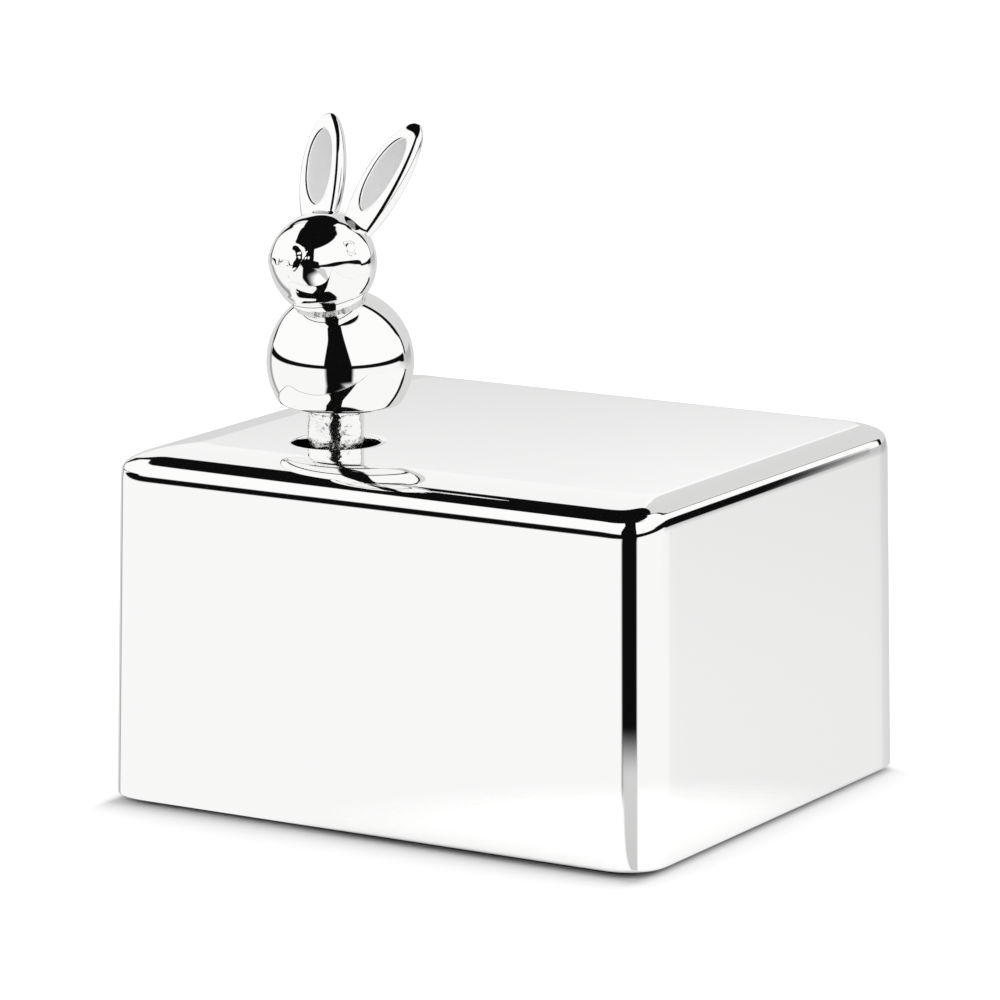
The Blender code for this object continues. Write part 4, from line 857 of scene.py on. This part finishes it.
def dull_solder(place):
    """Solder under the plating: too rough to mirror, with small pits."""
    pits = place.noise(2600, 4, 0.7)
    return {
        "Base Color": pits.tint((0.62, 0.62, 0.62), (0.97, 0.97, 0.96)),
        "Metallic": 1.0,
        "Roughness": 0.24 + 0.2 * pits,
        "Normal": pits.bump(0.00008),
    }


bead = solid("neck_solder", finish("dull_solder", dull_solder), bead_grid(), sharp=80)
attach(bead, "rabbit_knob")


# Table: a smooth top of a plain light grey that glows white in the picture, with a painted shadow
# along the foot of the case where the glow fades, over the real shade there. What the polished
# parts mirror of it is a painted reflection, grey towards the camera and white on other sides, and
# further off it is the studio's lower half.

# How fast the painted shadow at the case's foot gives way to the table's glow, per metre.
PAINTED_SHADE_FALL = 312
TABLE_GREY = 0.66
TABLE_GLOW = 0.5
TABLE_RADIUS = 1.15
TABLE_THICKNESS = 0.01

table = bpy.data.materials.new("table_white")
table.use_nodes = True
table.node_tree.nodes.clear()
place = Value(table.node_tree).node("TexCoord", output=3)
camera_ray = place.node("LightPath", output=0)
glossy_ray = place.node("LightPath", output=3)
across = place.axis(0)
along = place.axis(1)

# How far outside the case's foot a point is, over which the table's glow comes back from the
# painted shadow. What is added makes the painted shadow narrower on the right and leaves hardly any
# on the left and behind.
beside = across.maths("ABSOLUTE", across) - CASE_HALF_WIDTH
beside = beside.maths("MAXIMUM", beside, 0)
before = along.maths("ABSOLUTE", along) - CASE_HALF_DEPTH
before = before.maths("MAXIMUM", before, 0)
outside = beside.maths("SQRT", beside * beside + before * before)
outside = outside + 0.003 * across.rise(0.043, 0.046)
outside = outside + 0.008 * (1 - across.rise(-0.046, -0.043))
outside = outside + 0.008 * along.rise(0.035, 0.039)
# clear is the share of the glow left at a point: it falls to nothing at the case's foot, which
# paints a shadow there.
clear = 1 - outside.maths("EXPONENT", outside * -PAINTED_SHADE_FALL)

# The bearing and the distance of a point from the case's near corner. gap is the sector towards the
# camera in which the painted reflection of the table stays grey.
corner_x = across - CASE_HALF_WIDTH
corner_y = along + CASE_HALF_DEPTH
aim = corner_x.maths("ARCTAN2", corner_x, 0 - corner_y) * (180 / math.pi)
away = corner_x.maths("SQRT", corner_x * corner_x + corner_y * corner_y)
gap = aim.rise(4, 14) * (1 - aim.rise(48, 60))
# bright is the table's glow: white for the camera except for the painted shadow at the case's foot,
# and for polished parts a painted reflection, white except in the gap.
bright = clear * (camera_ray + glossy_ray * (1 - gap)) * TABLE_GLOW
# Further off, polished parts see through the table to the studio's lower half.
see_through = (away.rise(0.065, 0.105) * gap + away.rise(0.040, 0.065) * (1 - gap)) * glossy_ray
paint = {
    "Base Color": (TABLE_GREY, TABLE_GREY, TABLE_GREY, 1),
    "Roughness": 1.0,
    "Specular IOR Level": 0.0,
    "Emission Color": bright,
    "Emission Strength": 1.0,
}
surface = place.node("BsdfPrincipled", {}, paint)
nothing = place.node("BsdfTransparent", {}, {"Color": (1, 1, 1, 1)})
surface = place.node("MixShader", {}, {0: see_through, 1: surface, 2: nothing})
place.node("OutputMaterial", {}, {"Surface": surface})
table_profile = (
    (0, -TABLE_THICKNESS),
    (TABLE_RADIUS, -TABLE_THICKNESS),
    (TABLE_RADIUS, 0),
    (0.5, 0),
    (0, 0),
)
solid("table", table, turned(table_profile, 0, 0, 180))


# Studio: two white diffusers with a dark gap towards the camera, a grey backdrop behind, and white
# all round for everything that isn't polished. Its lower half is what a shiny table shows of it.
# Bearings are in degrees from the front, positive to the right, and heights in degrees.

BACK_BEARING = math.radians(152)
BACK_GREY = 0.72
BACK_FOOT_GREY = 0.70
DARKEST = 0.004

world = bpy.data.worlds.new("studio")
world.use_nodes = True
world.node_tree.nodes.clear()
bpy.context.scene.world = world
way = Value(world.node_tree).node("TexCoord", output=0)
way_x, way_y, way_z = (way.axis(number) for number in (0, 1, 2))
bearing = way.maths("ARCTAN2", way_x, 0 - way_y) * (180 / math.pi)
height = way.maths("ARCSINE", way_z) * (180 / math.pi)

# The left diffuser, between two curved upright edges and under a curved top.
left_edge = height.curve(
    (0, 6.5), (15, 8), (30, 8.6), (40, 7.9), (50, 3.6), (59, -3.6), (67, -16), (70, -29)
)
left_start = height.curve((0, -107), (6, -107), (14, -122), (50, -124))
left_top = bearing.curve(
    (-125, 44), (-116, 49), (-104, 54), (-86, 60), (-61, 65.5), (-43, 68), (-29, 69.5), (0, 69.5)
)
left = (1 - (bearing - left_edge).rise(-0.6, 0.6)) * (bearing - left_start).rise(-1, 1)
left = left * (1 - (height - left_top).rise(-0.6, 0.6))

# The bearing from the backdrop's middle, and the size of an arch there.
back_x = way_x * math.cos(BACK_BEARING) - way_y * math.sin(BACK_BEARING)
back_y = way_y * -math.cos(BACK_BEARING) - way_x * math.sin(BACK_BEARING)
off_back = back_x.maths("ARCTAN2", back_x, back_y) * (180 / math.pi)


def arch(width, top):
    """(bearing / width)^2 + (height / top)^4, which is 1 along an arch with those half sizes."""
    wide = off_back / width
    tall = height / top
    return wide * wide + (tall * tall) * (tall * tall)


# The right diffuser ends at an arch round the backdrop, and the backdrop at a smaller one.
right_edge = 50.5 - height * 0.24
right_top = height + (right_edge - bearing) * 0.02
right = (bearing - right_edge).rise(-0.6, 0.6) * (1 - right_top.rise(65, 67))
right = right * (arch(55 + 4 * height.rise(12, 22), 64) - 1).rise(-0.02, 0.02)
back_start = height.curve((0, 42), (4, 38), (14, 23), (36, 20), (42, 13), (48, -4), (60, -40))
backdrop = (1 - (arch(51, 58) - 1).rise(-0.02, 0.02)) * (1 - (off_back - back_start).rise(-1, 1))
grey = off_back.curve((-51, BACK_GREY), (-6, BACK_GREY), (-1, 1.0), (3, 0.95), (40, 0.95))
tone = BACK_FOOT_GREY + (grey - BACK_FOOT_GREY) * height.rise(9.4, 12.0)
upper = left + right + backdrop * tone

# The lower half: the gap, which widens further down, a dim line on the left, and the backdrop.
low = (height + 30).maths("MINIMUM", height + 30, 0)
gap_start = 9 + low * 0.4
gap_end = 52 - low * 0.47
gap = (bearing - gap_start).rise(-3, 3) * (1 - (bearing - gap_end).rise(-3, 3))
side_line = (bearing + 107).maths("ABSOLUTE", bearing + 107)
side_line = (1 - side_line.rise(2, 7)) * 0.6
plain = off_back.curve(
    (-61, 0.96), (-57.6, 0.875), (-55, 0.85), (-48, BACK_GREY), (40, BACK_GREY), (45, 0.96)
)
shade = height.rise(-13, -3) * bearing.rise(130, 148) * 0.35
lower = plain * (1 - gap) * (1 - side_line) * (1 - shade)

# The dark line of the horizon, which sinks and thickens on the far right.
above = height.rise(-0.3, 0.3)
far_right = bearing.rise(135, 147)
middle = height + 0.5 + far_right
middle = middle.maths("ABSOLUTE", middle) - far_right
shown = bearing.rise(-106, -104) * (1 - bearing.rise(149.9, 151.3))
line = shown * (1 - middle.rise(2, 3))
studio = (upper * above + lower * (1 - above)) * (1 - line) + DARKEST
glossy = way.node("LightPath", output=3)
strength = studio * glossy + (1 - glossy)
light = way.node("Background", {}, {"Color": (1, 1, 1, 1), "Strength": strength})
way.node("OutputWorld", {}, {"Surface": light})

bpy.context.scene.view_settings.view_transform = "Standard"
